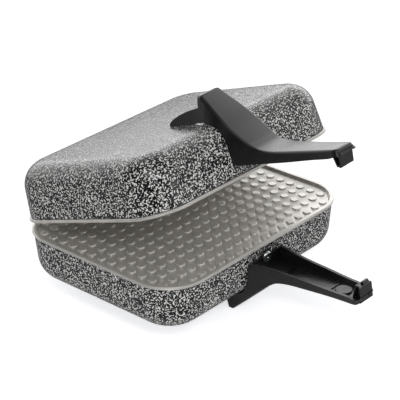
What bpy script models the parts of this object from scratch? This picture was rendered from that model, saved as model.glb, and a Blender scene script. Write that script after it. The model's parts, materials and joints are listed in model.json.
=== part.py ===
"""Electric waffle iron with two studded plates, hinged at the rear and standing with its lid ajar.

Both halves are made from the same pieces. A half is modelled in its own frame: X to the right, Y to the
rear, and depth measured downwards from the parting plane, where the two plates meet when it is closed.
The upper half is the same half turned over about Y and swung on the hinge axis. Lengths are in metres.
"""

import math

import bmesh
import bpy
from mathutils import Matrix, Vector

# Both halves
TOUCH_GAP = 0.0003
RIM_LENGTH = 0.255
RIM_WIDTH = 0.200
RIM_CORNER = 0.040
STAND_DEPTH = 0.0769
LID_OPEN = math.radians(19.15)
CUT_OVERRUN = 0.002
SHARP_ANGLE = math.radians(35)

# Cast plate
RIM_CLOSING_GAP = 0.00015
RIM_HEIGHT = 0.003
RIM_TOP_WIDTH = 0.004
RIM_EDGE_BREAK = 0.0004
RIM_SLOPE = 0.0012
PLATE_RECESS = 0.0037
PLATE_UNDERSIDE = 0.0097
SPIGOT_CLEARANCE = 0.001
STUD_PITCH = 0.0125
STUD_BASE_RADIUS = 0.00425
STUD_TOP_RADIUS = 0.0033
STUD_HEIGHT = 0.002
STUD_ROOT = 0.0005
STUD_SIDES = 5
LUG_WIDTH = 0.014
LUG_LENGTH = 0.011
LUG_DEPTH = 0.0215
LUG_WALL_GAP = 0.0006
POST_RADIUS = 0.0038
POST_SIDES = 8

# Shell
SHELL_TOP = 0.0033
SHELL_FACE = 0.0518
SHELL_INSET = 0.0015
SHELL_DRAFT = math.radians(5.2)
SHELL_FILLET = 0.024
SHELL_WALL = 0.002
CORNER_STEPS = 7
FILLET_STEPS = 5

# Handle
GRIP_REACH = 0.111
FOOT_TUCK = 0.031
ROOT_REACH = 0.025
LOWER_GRIP_DEPTH = 0.0226
UPPER_GRIP_DEPTH = 0.0190
HANDLE_WIDTH = 0.037
ROOT_WIDTH = 0.048
HANDLE_WEB = 0.0027
HANDLE_CHEEK = 0.003
LOWER_EDGE_DEPTH = 0.0152
UPPER_EDGE_DEPTH = 0.0120
TIP_WALL = 0.002
ROOT_EDGE_DEPTH = 0.0136
CHEEK_STANDOFF = 0.0016
FOOT_FLAT = 0.0036
ROOT_WALL = 0.0018
ROOT_STANDOFF = 0.0006
ROOT_WALL_BOTTOM = 0.027
SCREW_TAB_MARGIN = 0.0009
WING_LENGTH = 0.0385
WING_RECESS = 0.0009
WING_RECESS_END = 0.0145
WING_STEP = 0.0003
NUB_LENGTH = 0.009
NUB_WIDTH = 0.0176
NUB_SETBACK = 0.0006
NUB_FACE_WIDTH = 0.0158
NUB_CORE_WIDTH = 0.0104
NUB_CAP = 0.0016
NUB_PLATE = 0.0014
NUB_TOP_LENGTH = 0.005
NUB_TAPER = 0.0016
NUB_STEP = 0.0003
NUB_FLAT_DEPTH = 0.0036
NUB_RIDGE_DEPTH = 0.0008
NUB_RIDGE_WIDTH = 0.0072
PAD_RADIUS = 0.0072
PAD_RISE = 0.0008
PAD_FROM_TIP = 0.021

# Grip stations from the tip: along the reach to the rim, web depth and web width, then the edge's place
# along, its depth as a share of the grip's edge depth and as a share of ROOT_EDGE_DEPTH, and its width. Web
# depth is a share of grip to stand depth, web width a share of HANDLE_WIDTH, edge width of ROOT_WIDTH.
GRIP_SHARES = (
    (0.018, 0.000, 0.58, 0.000, 1.08, 0.00, 0.56),
    (0.072, 0.000, 0.61, 0.063, 1.05, 0.00, 0.585),
    (0.118, 0.002, 0.63, 0.108, 1.00, 0.00, 0.60),
    (0.270, 0.010, 0.70, 0.270, 1.00, 0.00, 0.635),
    (0.495, 0.030, 0.83, 0.495, 0.91, 0.05, 0.70),
    (0.662, 0.050, 0.90, 0.679, 0.80, 0.15, 0.75),
    (0.775, 0.098, 0.91, 0.836, 0.41, 0.52, 0.83),
)

# Wall stations: along from the root's start to the foot, web depth and web width, then the edge's place
# down the shell's wall as a share from the root edge to the fillet, and its width.
WALL_SHARES = (
    (0.118, 0.165, 0.94, 0.0, 1.00),
    (0.211, 0.238, 0.97, 0.5, 1.00),
)

# Fillet stations: along, web depth and web width, then the edge's place round the fillet as a share of its
# turn, the share of the stand-off and the edge's width.
FILLET_SHARES = (
    (0.425, 0.433, 0.99, 0.18, 0.6, 0.98),
    (0.636, 0.650, 0.91, 0.60, 1.0, 0.92),
    (0.848, 0.857, 0.81, 1.00, 1.0, 0.87),
)
FOOT_SHARES = (1.0, 1.0, 0.72, 0.83)

# Wing stations from the foot to the tip: along as a share of WING_LENGTH, and height above the shell's face
# as a share of the foot's height.
WING_SHARES = (
    (-0.07, 0.68),
    (0.03, 0.585),
    (0.25, 0.53),
    (0.50, 0.45),
    (0.75, 0.33),
    (0.92, 0.21),
    (1.00, 0.08),
)

# Hinge
HINGE_REAR = 0.010
KNUCKLE_RADIUS = 0.0075
KNUCKLE_STEPS = 10
KNUCKLE_FRONT = math.radians(140)
KNUCKLE_REAR = math.radians(380)
PIN_RADIUS = 0.004
PIN_BORE = 0.0027
PIN_SIDES = 12
PIN_CLEARANCE = 0.0003
KNUCKLE_GAP = 0.0006
INNER_KNUCKLE_START = 0.012
KNUCKLE_LENGTH = 0.015
PIN_END = 0.0045
CLIP_THICKNESS = 0.001
CLIP_RIM = 0.0018
BRACKET_MARGIN = 0.007
BRACKET_PLATE = 0.005
BRACKET_TOP = 0.007
BRACKET_BOTTOM = 0.026
ARM_ROOT = 0.0235
LEG_WIDTH = 0.020
LEG_TOP = 0.020
LEG_LENGTH = 0.018
LEG_KNEE_DEPTH = 0.042
FOOT_PAD = 0.0027
FOOT_PAD_MARGIN = 0.002

# Screws
SCREW_RADIUS = 0.002
SCREW_HOLE = 0.0024
SCREW_SIDES = 8
SCREW_HEAD_RADIUS = 0.0053
SCREW_HEAD_HEIGHT = 0.0036
SCREW_TIP = 0.008
HANDLE_SCREW_DEPTH = 0.0147
BRACKET_SCREW_GAP = 0.0064
BRACKET_SCREW_DEPTH = 0.0158
LUG_SPARE = 0.004
SMALL_SCREW_RADIUS = 0.0014
SMALL_SCREW_HOLE = 0.0018
SMALL_HEAD_RADIUS = 0.003
SMALL_HEAD_HEIGHT = 0.0016
SMALL_SCREW_BITE = 0.005

# Heater
HEATER_RADIUS = 0.00325
HEATER_BEND = 0.012
HEATER_SIDE_MARGIN = 0.0475
HEATER_INNER_X = 0.030
HEATER_END_X = 0.018
HEATER_FRONT_MARGIN = 0.038
HEATER_REAR_MARGIN = 0.042
HEATER_FOLD = 0.033
HEATER_END_MARGIN = 0.021
BEND_STEPS = 3
TAB_WIDTH = 0.0063
TAB_THICKNESS = 0.0012
TAB_LENGTH = 0.007
CLAMP_OVERLAP = 0.006
CLAMP_WIDTH = 0.012
CLAMP_THICKNESS = 0.002

# Reflector
REFLECTOR_DEPTH = 0.0245
REFLECTOR_SHEET = 0.0008
REFLECTOR_INLET_GAP = 0.0085
REFLECTOR_END_MARGIN = 0.030
REFLECTOR_CORNER = 0.020
REFLECTOR_LIP = 0.004
REFLECTOR_WINDOW = 0.011
REFLECTOR_SCREW_GAP = 0.015
REFLECTOR_STEPS = 3

# Terminal block
BLOCK_LENGTH = 0.036
BLOCK_WIDTH = 0.018
BLOCK_HEIGHT = 0.013
BLOCK_MARGIN = 0.030
BLOCK_SCREW_TIP = 0.003

# Thermostat
THERMOSTAT_Y = -0.025
THERMOSTAT_RADIUS = 0.008
THERMOSTAT_HEIGHT = 0.012
THERMOSTAT_FLANGE = 0.0012
THERMOSTAT_FLANGE_LENGTH = 0.034
THERMOSTAT_FLANGE_WIDTH = 0.012
THERMOSTAT_SCREW_X = 0.0125
THERMOSTAT_PIN_X = 0.004
THERMOSTAT_PIN_RADIUS = 0.0013
THERMOSTAT_PIN_LENGTH = 0.003
THERMOSTAT_SIDES = 12

# Appliance inlet
INLET_CORNER_GAP = 0.002
INLET_DEPTH = 0.021
INLET_FLANGE_LENGTH = 0.036
INLET_FLANGE_HEIGHT = 0.021
INLET_FLANGE = 0.0014
INLET_BODY_LENGTH = 0.028
INLET_BODY_HEIGHT = 0.018
INLET_BODY_REACH = 0.021
INLET_WALL = 0.002
INLET_FLOOR = 0.003
INLET_PIN_RADIUS = 0.0012
INLET_PIN_SPACING = 0.007
INLET_PIN_RECESS = 0.006
INLET_TAIL = 0.005

# Wires
WIRE_RADIUS = 0.0012
LEAD_RADIUS = 0.0021
LEAD_BRACKET_GAP = 0.008
LEAD_DEPTH = 0.018
GROMMET_RADIUS = 0.0056
GROMMET_NECK = 0.0037
GROMMET_BORE = 0.0026
GROMMET_HOLE = 0.0041
GROMMET_FLANGE = 0.0012
GROMMET_CLEARANCE = 0.0005
GROMMET_SIDES = 12
WIRE_STEP = 0.006
WIRE_CLEAR = 0.005
LEAD_STRAIGHT = 0.010

HINGE_Y = RIM_WIDTH / 2 + HINGE_REAR
TIP_Y = -RIM_WIDTH / 2 - GRIP_REACH
CENTRE_Y = (TIP_Y + HINGE_Y + KNUCKLE_RADIUS) / 2
HEATER_DEPTH = PLATE_UNDERSIDE + TOUCH_GAP + HEATER_RADIUS
CLAMP_DEPTH = HEATER_DEPTH + HEATER_RADIUS + TOUCH_GAP
REFLECTOR_BACK = REFLECTOR_DEPTH + REFLECTOR_SHEET
BLOCK_MIDDLE = REFLECTOR_BACK + TOUCH_GAP + BLOCK_HEIGHT / 2
THERMOSTAT_BITE = (PLATE_UNDERSIDE - PLATE_RECESS) / 2
OUTER_KNUCKLE_START = INNER_KNUCKLE_START + KNUCKLE_LENGTH + KNUCKLE_GAP
PIN_HALF = OUTER_KNUCKLE_START + KNUCKLE_LENGTH + PIN_END
BRACKET_SCREW_X = OUTER_KNUCKLE_START + KNUCKLE_LENGTH + BRACKET_SCREW_GAP
BRACKET_HALF = BRACKET_SCREW_X + BRACKET_MARGIN
LEAD_X = BRACKET_HALF + LEAD_BRACKET_GAP
HEATER_HALF_X = RIM_LENGTH / 2 - HEATER_SIDE_MARGIN
HEATER_FRONT_Y = RIM_WIDTH / 2 - HEATER_FRONT_MARGIN
HEATER_REAR_Y = RIM_WIDTH / 2 - HEATER_REAR_MARGIN
HEATER_FOLD_Y = HEATER_REAR_Y - HEATER_FOLD
HEATER_END_Y = RIM_WIDTH / 2 - HEATER_END_MARGIN
CLAMP_X = (HEATER_HALF_X + HEATER_INNER_X) / 2
CLAMP_HALF = (HEATER_HALF_X - HEATER_INNER_X) / 2 + CLAMP_OVERLAP
REFLECTOR_HALF_Y = RIM_WIDTH / 2 - REFLECTOR_END_MARGIN
REFLECTOR_SCREW_Y = HEATER_REAR_Y - REFLECTOR_SCREW_GAP
BLOCK_Y = REFLECTOR_HALF_Y - BLOCK_MARGIN
INLET_Y = RIM_WIDTH / 2 - RIM_CORNER - INLET_FLANGE_LENGTH / 2 - INLET_CORNER_GAP


def clear_scene():
    """Removes whatever the scene holds before the model is made."""
    for item in list(bpy.data.objects):
        bpy.data.objects.remove(item)


def finish(name, colour, roughness, metallic=0.0):
    """A plain surface of one colour."""
    material = bpy.data.materials.new(name)
    material.use_nodes = True
    surface = material.node_tree.nodes["Principled BSDF"]
    surface.inputs["Base Color"].default_value = (*colour, 1)
    surface.inputs["Roughness"].default_value = roughness
    surface.inputs["Metallic"].default_value = metallic
    material.diffuse_color = (*colour, 1)
    return material


def place(x, y, depth):
    """A point of a half, from its depth below the parting plane."""
    return Vector((x, y, -depth))


def to_mesh(name, bm):
    """Turns a closed bmesh into a mesh whose faces point outwards."""
    bmesh.ops.recalc_face_normals(bm, faces=bm.faces)
    mesh = bpy.data.meshes.new(name)
    bm.to_mesh(mesh)
    bm.free()
    return mesh


def loft(name, rings):
    """A closed solid through rings of equal length, capped flat at its first and last ring."""
    bm = bmesh.new()
    loops = [[bm.verts.new(point) for point in ring] for ring in rings]
    for before, after in zip(loops, loops[1:]):
        for here in range(len(before)):
            following = (here + 1) % len(before)
            bm.faces.new((before[here], before[following], after[following], after[here]))
    bm.faces.new(loops[0])
    bm.faces.new(loops[-1])
    return to_mesh(name, bm)


def prism(name, outline, shift):
    """A flat outline swept along a straight line."""
    return loft(name, [outline, [point + shift for point in outline]])


def block(name, low, high):
    """A box between two corners."""
    base = [Vector((low.x, low.y, low.z)), Vector((high.x, low.y, low.z))]
    base += [Vector((high.x, high.y, low.z)), Vector((low.x, high.y, low.z))]
    return prism(name, base, Vector((0, 0, high.z - low.z)))


def turned(name, profile, sides, frame):
    """A solid turned about a frame's Z axis from its radius and height pairs, flat at both ends."""
    rings = []
    for radius, height in profile:
        turn = [math.tau * side / sides for side in range(sides)]
        rings.append([frame @ Vector((radius * math.cos(a), radius * math.sin(a), height)) for a in turn])
    return loft(name, rings)


def hollow_turned(name, profile, sides, frame):
    """A ring turned about a frame's Z axis from a closed profile that doesn't touch the axis."""
    bm = bmesh.new()
    corners = [bm.verts.new(frame @ Vector((radius, 0, height))) for radius, height in profile]
    edges = [bm.edges.new((a, b)) for a, b in zip(corners, corners[1:] + corners[:1])]
    axis = frame.to_3x3() @ Vector((0, 0, 1))
    bmesh.ops.spin(
        bm, geom=corners + edges, cent=frame.translation, axis=axis,
        angle=math.tau, steps=sides, use_merge=True,
    )
    return to_mesh(name, bm)


def rod(name, radius, low, high, sides, frame):
    """A round bar along a frame's Z axis."""
    return turned(name, ((radius, low), (radius, high)), sides, frame)


def gathered(name, meshes):
    """Several separate solids as one mesh."""
    bm = bmesh.new()
    for mesh in meshes:
        bm.from_mesh(mesh)
    result = bpy.data.meshes.new(name)
    bm.to_mesh(result)
    bm.free()
    return result


def combined(name, body, joined=(), cut=()):
    """The mesh of a body once the joined meshes are fused to it and the cut meshes are taken away."""
    scene = bpy.context.scene.collection
    base = bpy.data.objects.new(name, body)
    scene.objects.link(base)
    tools = []
    for operation, meshes in (("UNION", joined), ("DIFFERENCE", cut)):
        for mesh in meshes:
            tool = bpy.data.objects.new("tool", mesh)
            scene.objects.link(tool)
            tools.append(tool)
            step = base.modifiers.new("step", "BOOLEAN")
            step.operation = operation
            step.object = tool
    graph = bpy.context.evaluated_depsgraph_get()
    result = bpy.data.meshes.new_from_object(base.evaluated_get(graph))
    for spent in [base, *tools]:
        bpy.data.objects.remove(spent)
    return result


def rounded(half_x, half_y, radius, depth, steps):
    """A rectangle with round corners at one depth."""
    ring = []
    for corner, (side_x, side_y) in enumerate(((1, 1), (-1, 1), (-1, -1), (1, -1))):
        centre_x = side_x * (half_x - radius)
        centre_y = side_y * (half_y - radius)
        for step in range(steps + 1):
            angle = (corner + step / steps) * math.pi / 2
            ring.append(place(centre_x + radius * math.cos(angle), centre_y + radius * math.sin(angle), depth))
    return ring


def body_ring(inset, depth):
    """The rim's outline drawn in by an inset, at one depth."""
    return rounded(RIM_LENGTH / 2 - inset, RIM_WIDTH / 2 - inset, RIM_CORNER - inset, depth, CORNER_STEPS)


def wall_inset(depth, offset=0.0):
    """How far inside the rim's edge the shell's wall lies at a depth, moved outwards by an offset."""
    lean = (depth - SHELL_TOP) * math.tan(SHELL_DRAFT)
    return SHELL_INSET + lean - offset / math.cos(SHELL_DRAFT)


def fillet_point(share, offset=0.0):
    """Inset and depth at a share of the turn from the shell's wall to its flat face."""
    depth = SHELL_FACE - SHELL_FILLET
    inset = wall_inset(depth) + SHELL_FILLET / math.cos(SHELL_DRAFT)
    angle = SHELL_DRAFT + (math.pi / 2 - SHELL_DRAFT) * share
    reach = SHELL_FILLET + offset
    return inset - reach * math.cos(angle), depth + reach * math.sin(angle)


def shell_skin(offset):
    """Inset and depth pairs from the shell's edge to its flat face, moved outwards by an offset."""
    skin = [(wall_inset(SHELL_TOP, offset), SHELL_TOP)]
    skin += [fillet_point(step / FILLET_STEPS, offset) for step in range(FILLET_STEPS + 1)]
    return skin


def on_wall(side, along, depth, offset=0.0):
    """A frame on the shell's outer skin whose Z axis points straight out of the wall."""
    direction, length = {
        "front": (Vector((0, -1, 0)), RIM_WIDTH),
        "rear": (Vector((0, 1, 0)), RIM_WIDTH),
        "right": (Vector((1, 0, 0)), RIM_LENGTH),
    }[side]
    across = Vector((abs(direction.y), abs(direction.x), 0))
    outward = direction * math.cos(SHELL_DRAFT) + Vector((0, 0, -math.sin(SHELL_DRAFT)))
    origin = direction * (length / 2 - wall_inset(depth)) + across * along + Vector((0, 0, -depth))
    origin += outward * offset
    columns = (across, outward.cross(across), outward)
    turn = Matrix(columns).transposed().to_4x4()
    return Matrix.Translation(origin) @ turn


def downward(x, y, depth):
    """A frame whose Z axis points away from the parting plane."""
    return Matrix.Translation(place(x, y, depth)) @ Matrix.Rotation(math.pi, 4, "X")


def along_x(x, y, depth):
    """A frame whose Z axis points along X."""
    return Matrix.Translation(place(x, y, depth)) @ Matrix.Rotation(math.pi / 2, 4, "Y")


def screw(name, radius, head_radius, head_height, length, frame):
    """A pan-head screw with its head's seat on a frame and its head pointing out along Z."""
    profile = (
        (radius, -length),
        (radius, 0),
        (head_radius, 0),
        (head_radius, head_height / 2),
        (head_radius * 0.6, head_height),
    )
    return turned(name, profile, SCREW_SIDES, frame)


def handle_screw_frame():
    """The seat of the handle screw's head on the front of the root wall."""
    return on_wall("front", 0, HANDLE_SCREW_DEPTH, ROOT_STANDOFF + ROOT_WALL)


def bracket_screw_frames():
    """The seats of the bracket screws' heads."""
    reach = BRACKET_PLATE + TOUCH_GAP
    return [on_wall("rear", side * BRACKET_SCREW_X, BRACKET_SCREW_DEPTH, reach) for side in (-1, 1)]


def wall_holes():
    """Where the handle's and the bracket's screws cross the shell's skin."""
    rear = [on_wall("rear", side * BRACKET_SCREW_X, BRACKET_SCREW_DEPTH) for side in (-1, 1)]
    return [on_wall("front", 0, HANDLE_SCREW_DEPTH), *rear]


def plate_mesh():
    """The cast plate: its rim, studded floor, locating spigot, screw lugs and posts."""
    spigot = SHELL_INSET + SHELL_WALL + SPIGOT_CLEARANCE
    floor = RIM_CLOSING_GAP + PLATE_RECESS
    tray = loft(
        "tray",
        [
            body_ring(RIM_TOP_WIDTH + RIM_SLOPE, floor),
            body_ring(RIM_TOP_WIDTH, RIM_CLOSING_GAP),
            body_ring(RIM_EDGE_BREAK, RIM_CLOSING_GAP),
            body_ring(0, RIM_CLOSING_GAP + RIM_EDGE_BREAK),
            body_ring(0, RIM_HEIGHT),
            body_ring(spigot, RIM_HEIGHT),
            body_ring(spigot, PLATE_UNDERSIDE),
        ],
    )
    joined = [gathered("studs", [stud_mesh(x, y, floor) for x, y in stud_places()])]
    joined.append(gathered("lugs", [lug_mesh(*lug) for lug in lug_places()]))
    posts = [post_mesh(x, y, REFLECTOR_DEPTH - TOUCH_GAP) for x, y in reflector_screw_places()]
    posts += [post_mesh(x, y, CLAMP_DEPTH - TOUCH_GAP) for x, y in clamp_places()]
    joined.append(gathered("posts", posts))
    deep = SHELL_WALL + LUG_LENGTH + LUG_SPARE
    holes = [rod("hole", SCREW_HOLE, -deep, 0, SCREW_SIDES, frame) for frame in wall_holes()]
    small = [(x, y, REFLECTOR_DEPTH) for x, y in reflector_screw_places()]
    small += [(x, y, CLAMP_DEPTH) for x, y in clamp_places()]
    small += [(x, THERMOSTAT_Y, PLATE_UNDERSIDE) for x in (-THERMOSTAT_SCREW_X, THERMOSTAT_SCREW_X)]
    for x, y, depth in small:
        frame = downward(x, y, depth)
        bite = SMALL_SCREW_BITE if depth > PLATE_UNDERSIDE else THERMOSTAT_BITE
        holes.append(rod("hole", SMALL_SCREW_HOLE, -bite - TOUCH_GAP, CUT_OVERRUN, SCREW_SIDES, frame))
    return combined("plate", tray, joined, [gathered("holes", holes)])


def stud_places():
    """The centres of the studs: a square grid, where a whole stud fits inside the rim."""
    edge = RIM_TOP_WIDTH + RIM_SLOPE + STUD_BASE_RADIUS
    half_x = RIM_LENGTH / 2 - edge
    half_y = RIM_WIDTH / 2 - edge
    corner = RIM_CORNER - edge
    columns = int(half_x // STUD_PITCH)
    rows = int(half_y // STUD_PITCH)
    places = []
    for row in range(-rows, rows + 1):
        for column in range(-columns, columns + 1):
            x = column * STUD_PITCH
            y = row * STUD_PITCH
            beyond_x = max(0, abs(x) - half_x + corner)
            beyond_y = max(0, abs(y) - half_y + corner)
            if math.hypot(beyond_x, beyond_y) <= corner:
                places.append((x, y))
    return places


def stud_mesh(x, y, floor):
    """One stud, rooted a little below the plate's floor."""
    frame = Matrix.Translation(place(x, y, floor))
    profile = ((STUD_BASE_RADIUS, -STUD_ROOT), (STUD_BASE_RADIUS, 0), (STUD_TOP_RADIUS, STUD_HEIGHT))
    return turned("stud", profile, STUD_SIDES, frame)


def lug_places():
    """Where the lugs stand: x, and -1 for the front wall or 1 for the rear."""
    return ((0, -1), (-BRACKET_SCREW_X, 1), (BRACKET_SCREW_X, 1))


def lug_mesh(x, side):
    """A lug under the plate, just inside the shell's wall, that a wall screw bites into."""
    near = RIM_WIDTH / 2 - wall_inset(PLATE_UNDERSIDE, -SHELL_WALL - LUG_WALL_GAP)
    far = RIM_WIDTH / 2 - wall_inset(LUG_DEPTH, -SHELL_WALL - LUG_WALL_GAP)
    top = PLATE_UNDERSIDE - STUD_ROOT
    outline = [
        place(x - LUG_WIDTH / 2, side * near, top),
        place(x - LUG_WIDTH / 2, side * far, LUG_DEPTH),
        place(x - LUG_WIDTH / 2, side * (far - LUG_LENGTH), LUG_DEPTH),
        place(x - LUG_WIDTH / 2, side * (near - LUG_LENGTH), top),
    ]
    return prism("lug", outline, Vector((LUG_WIDTH, 0, 0)))


def reflector_screw_places():
    """The two posts that carry the reflector, at opposite corners."""
    return [(-CLAMP_X, -REFLECTOR_SCREW_Y), (CLAMP_X, REFLECTOR_SCREW_Y)]


def clamp_places():
    """The posts that the heater clamps are screwed to."""
    return [(-CLAMP_X, 0), (CLAMP_X, 0)]


def post_mesh(x, y, depth):
    """A round post under the plate, down to a depth."""
    frame = downward(x, y, PLATE_UNDERSIDE)
    return rod("post", POST_RADIUS, -STUD_ROOT, depth - PLATE_UNDERSIDE, POST_SIDES, frame)


def shell_mesh():
    """The drafted shell as an open tub, with its screw and lead holes."""
    inner = shell_skin(-SHELL_WALL)
    outer = shell_skin(0.0)
    tub = loft("tub", [body_ring(*point) for point in inner[::-1] + outer])
    reach = SHELL_WALL + CUT_OVERRUN
    holes = [rod("hole", SCREW_HOLE, -reach, CUT_OVERRUN, SCREW_SIDES, frame) for frame in wall_holes()]
    holes.append(rod("hole", GROMMET_HOLE, -reach, CUT_OVERRUN, GROMMET_SIDES, on_wall("rear", LEAD_X, LEAD_DEPTH)))
    return combined("shell", tub, cut=[gathered("holes", holes)])


def lower_shell_mesh():
    """The lower shell, which also has the opening for the appliance inlet."""
    half_y = INLET_BODY_LENGTH / 2 + TOUCH_GAP
    half_z = INLET_BODY_HEIGHT / 2 + TOUCH_GAP
    opening = framed_box(inlet_frame(), half_y, half_z, -SHELL_WALL - CUT_OVERRUN, CUT_OVERRUN)
    return combined("lower_shell", shell_mesh(), cut=[opening])


def framed_box(frame, half_x, half_y, low, high):
    """A box centred on a frame's Z axis."""
    corners = ((-half_x, -half_y), (half_x, -half_y), (half_x, half_y), (-half_x, half_y))
    rings = [[frame @ Vector((x, y, height)) for x, y in corners] for height in (low, high)]
    return loft("box", rings)


def web_place(y, depth_share, grip_depth):
    """A point on the handle's outer face, at a share from its grip's depth to the stand's."""
    return y, grip_depth + depth_share * (STAND_DEPTH - grip_depth)


def handle_stations(grip_depth, grip_edge):
    """The handle's stations: web y, depth and half width, then edge y, depth and half width."""
    stations = []
    front = -RIM_WIDTH / 2
    start = front - ROOT_REACH
    slope = ROOT_REACH + FOOT_TUCK
    for along, depth, width, edge_along, edge_depth, root_share, edge_width in GRIP_SHARES:
        web = web_place(TIP_Y + along * GRIP_REACH, depth, grip_depth)
        edge = (TIP_Y + edge_along * GRIP_REACH, edge_depth * grip_edge + root_share * ROOT_EDGE_DEPTH)
        stations.append((*web, width * HANDLE_WIDTH / 2, *edge, edge_width * ROOT_WIDTH / 2))
    fillet_start = SHELL_FACE - SHELL_FILLET
    for along, depth, width, share, edge_width in WALL_SHARES:
        web = web_place(start + along * slope, depth, grip_depth)
        edge_depth = ROOT_EDGE_DEPTH + share * (fillet_start - ROOT_EDGE_DEPTH)
        edge = (front + wall_inset(edge_depth, TOUCH_GAP), edge_depth)
        stations.append((*web, width * HANDLE_WIDTH / 2, *edge, edge_width * ROOT_WIDTH / 2))
    for along, depth, width, share, standoff, edge_width in FILLET_SHARES:
        web = web_place(start + along * slope, depth, grip_depth)
        inset, edge_depth = fillet_point(share, standoff * CHEEK_STANDOFF)
        stations.append((*web, width * HANDLE_WIDTH / 2, front + inset, edge_depth, edge_width * ROOT_WIDTH / 2))
    along, depth, width, edge_width = FOOT_SHARES
    web = web_place(start + along * slope, depth, grip_depth)
    edge = (front + FOOT_TUCK, SHELL_FACE + CHEEK_STANDOFF)
    stations.append((*web, width * HANDLE_WIDTH / 2, *edge, edge_width * ROOT_WIDTH / 2))
    return stations


def inner_web(stations, here):
    """A station's web point moved in by the web's thickness, square to the web or along an end."""
    before = stations[max(here - 1, 0)]
    after = stations[min(here + 1, len(stations) - 1)]
    run = Vector((after[0] - before[0], after[1] - before[1])).normalized()
    web_y, web_depth, web_half, edge_y, edge_depth, edge_half = stations[here]
    if here == 0:
        return web_y + (edge_y - web_y) * HANDLE_WEB / (web_depth - edge_depth), web_depth - HANDLE_WEB
    if here == len(stations) - 1:
        return web_y, web_depth - HANDLE_WEB / run.x
    return web_y + run.y * HANDLE_WEB, web_depth - run.x * HANDLE_WEB


def channel_mesh(stations):
    """The open channel of the handle, from its tip to its foot."""
    rings = []
    for here, (web_y, web_depth, web_half, edge_y, edge_depth, edge_half) in enumerate(stations):
        in_y, in_depth = inner_web(stations, here)
        rings.append(
            [
                place(-edge_half, edge_y, edge_depth),
                place(-web_half, web_y, web_depth),
                place(web_half, web_y, web_depth),
                place(edge_half, edge_y, edge_depth),
                place(edge_half - HANDLE_CHEEK, edge_y, edge_depth),
                place(web_half - HANDLE_CHEEK, in_y, in_depth),
                place(HANDLE_CHEEK - web_half, in_y, in_depth),
                place(HANDLE_CHEEK - edge_half, edge_y, edge_depth),
            ]
        )
    return loft("channel", rings)


def foot_mesh(stations):
    """The closed end of the foot, with the flat that the iron stands on."""
    web_y, web_depth, web_half, edge_y, edge_depth, edge_half = stations[-1]
    rings = []
    for y in (web_y, web_y + FOOT_FLAT):
        rings.append(
            [
                place(-edge_half, y, edge_depth),
                place(-web_half, y, web_depth),
                place(web_half, y, web_depth),
                place(edge_half, y, edge_depth),
            ]
        )
    return loft("foot", rings)


def wing_mesh(side, stations):
    """One wing, which carries the foot's side on over the shell's flat face."""
    web_y, web_depth, web_half, edge_y, edge_depth, edge_half = stations[-1]
    lean = (edge_half - web_half) / (web_depth - edge_depth)
    low_half = edge_half - WING_STEP
    start = web_y + FOOT_FLAT
    rings = []
    for along, rise in WING_SHARES:
        y = start + along * WING_LENGTH
        low = SHELL_FACE + TOUCH_GAP
        if y < start + WING_RECESS_END:
            share = min(1, 1 - (y - start) / WING_RECESS_END)
            low = SHELL_FACE + WING_RECESS + share * (CHEEK_STANDOFF + WING_STEP - WING_RECESS)
        high = SHELL_FACE + rise * (STAND_DEPTH - SHELL_FACE)
        top_half = low_half - lean * (high - edge_depth)
        rings.append(
            [
                place(side * low_half, y, low),
                place(side * top_half, y, high),
                place(side * (top_half - HANDLE_CHEEK), y, high),
                place(side * (low_half - HANDLE_CHEEK), y, low),
            ]
        )
    return loft("wing", rings)


def root_wall_mesh():
    """The wall across the root that lies against the shell, with the tab that the handle's screw holds."""
    half = ROOT_WIDTH / 2 - HANDLE_CHEEK / 2
    reach = SCREW_HEAD_RADIUS + SCREW_TAB_MARGIN
    shoulder = ROOT_EDGE_DEPTH + TOUCH_GAP
    top = HANDLE_SCREW_DEPTH - reach
    outline = (
        (-reach, top),
        (reach, top),
        (reach, shoulder),
        (half, shoulder),
        (half, ROOT_WALL_BOTTOM),
        (-half, ROOT_WALL_BOTTOM),
        (-half, shoulder),
        (-reach, shoulder),
    )
    rings = []
    for offset in (ROOT_STANDOFF, ROOT_STANDOFF + ROOT_WALL):
        rings.append([place(x, -RIM_WIDTH / 2 + wall_inset(depth, offset), depth) for x, depth in outline])
    return loft("root_wall", rings)


def tapered_block(half, top_half, lengths, top_lengths, depths):
    """A block of the nub that narrows from its base in the web to its flat top."""
    rings = []
    for reach, (near, far), depth in zip((half, top_half), (lengths, top_lengths), depths):
        corners = ((-reach, near), (reach, near), (reach, far), (-reach, far))
        rings.append([place(x, TIP_Y + y, depth) for x, y in corners])
    return loft("block", rings)


def tip_wall_mesh(stations):
    """The wall that closes the channel at its tip."""
    web_y, web_depth, web_half, edge_y, edge_depth, edge_half = stations[0]
    rings = []
    for y, depth, half in ((edge_y, edge_depth + NUB_STEP, edge_half), (web_y, web_depth - NUB_STEP, web_half)):
        reach = half - HANDLE_CHEEK / 2
        corners = ((-reach, NUB_STEP), (reach, NUB_STEP), (reach, TIP_WALL), (-reach, TIP_WALL))
        rings.append([place(x, y + inward, depth) for x, inward in corners])
    return loft("tip_wall", rings)


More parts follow.
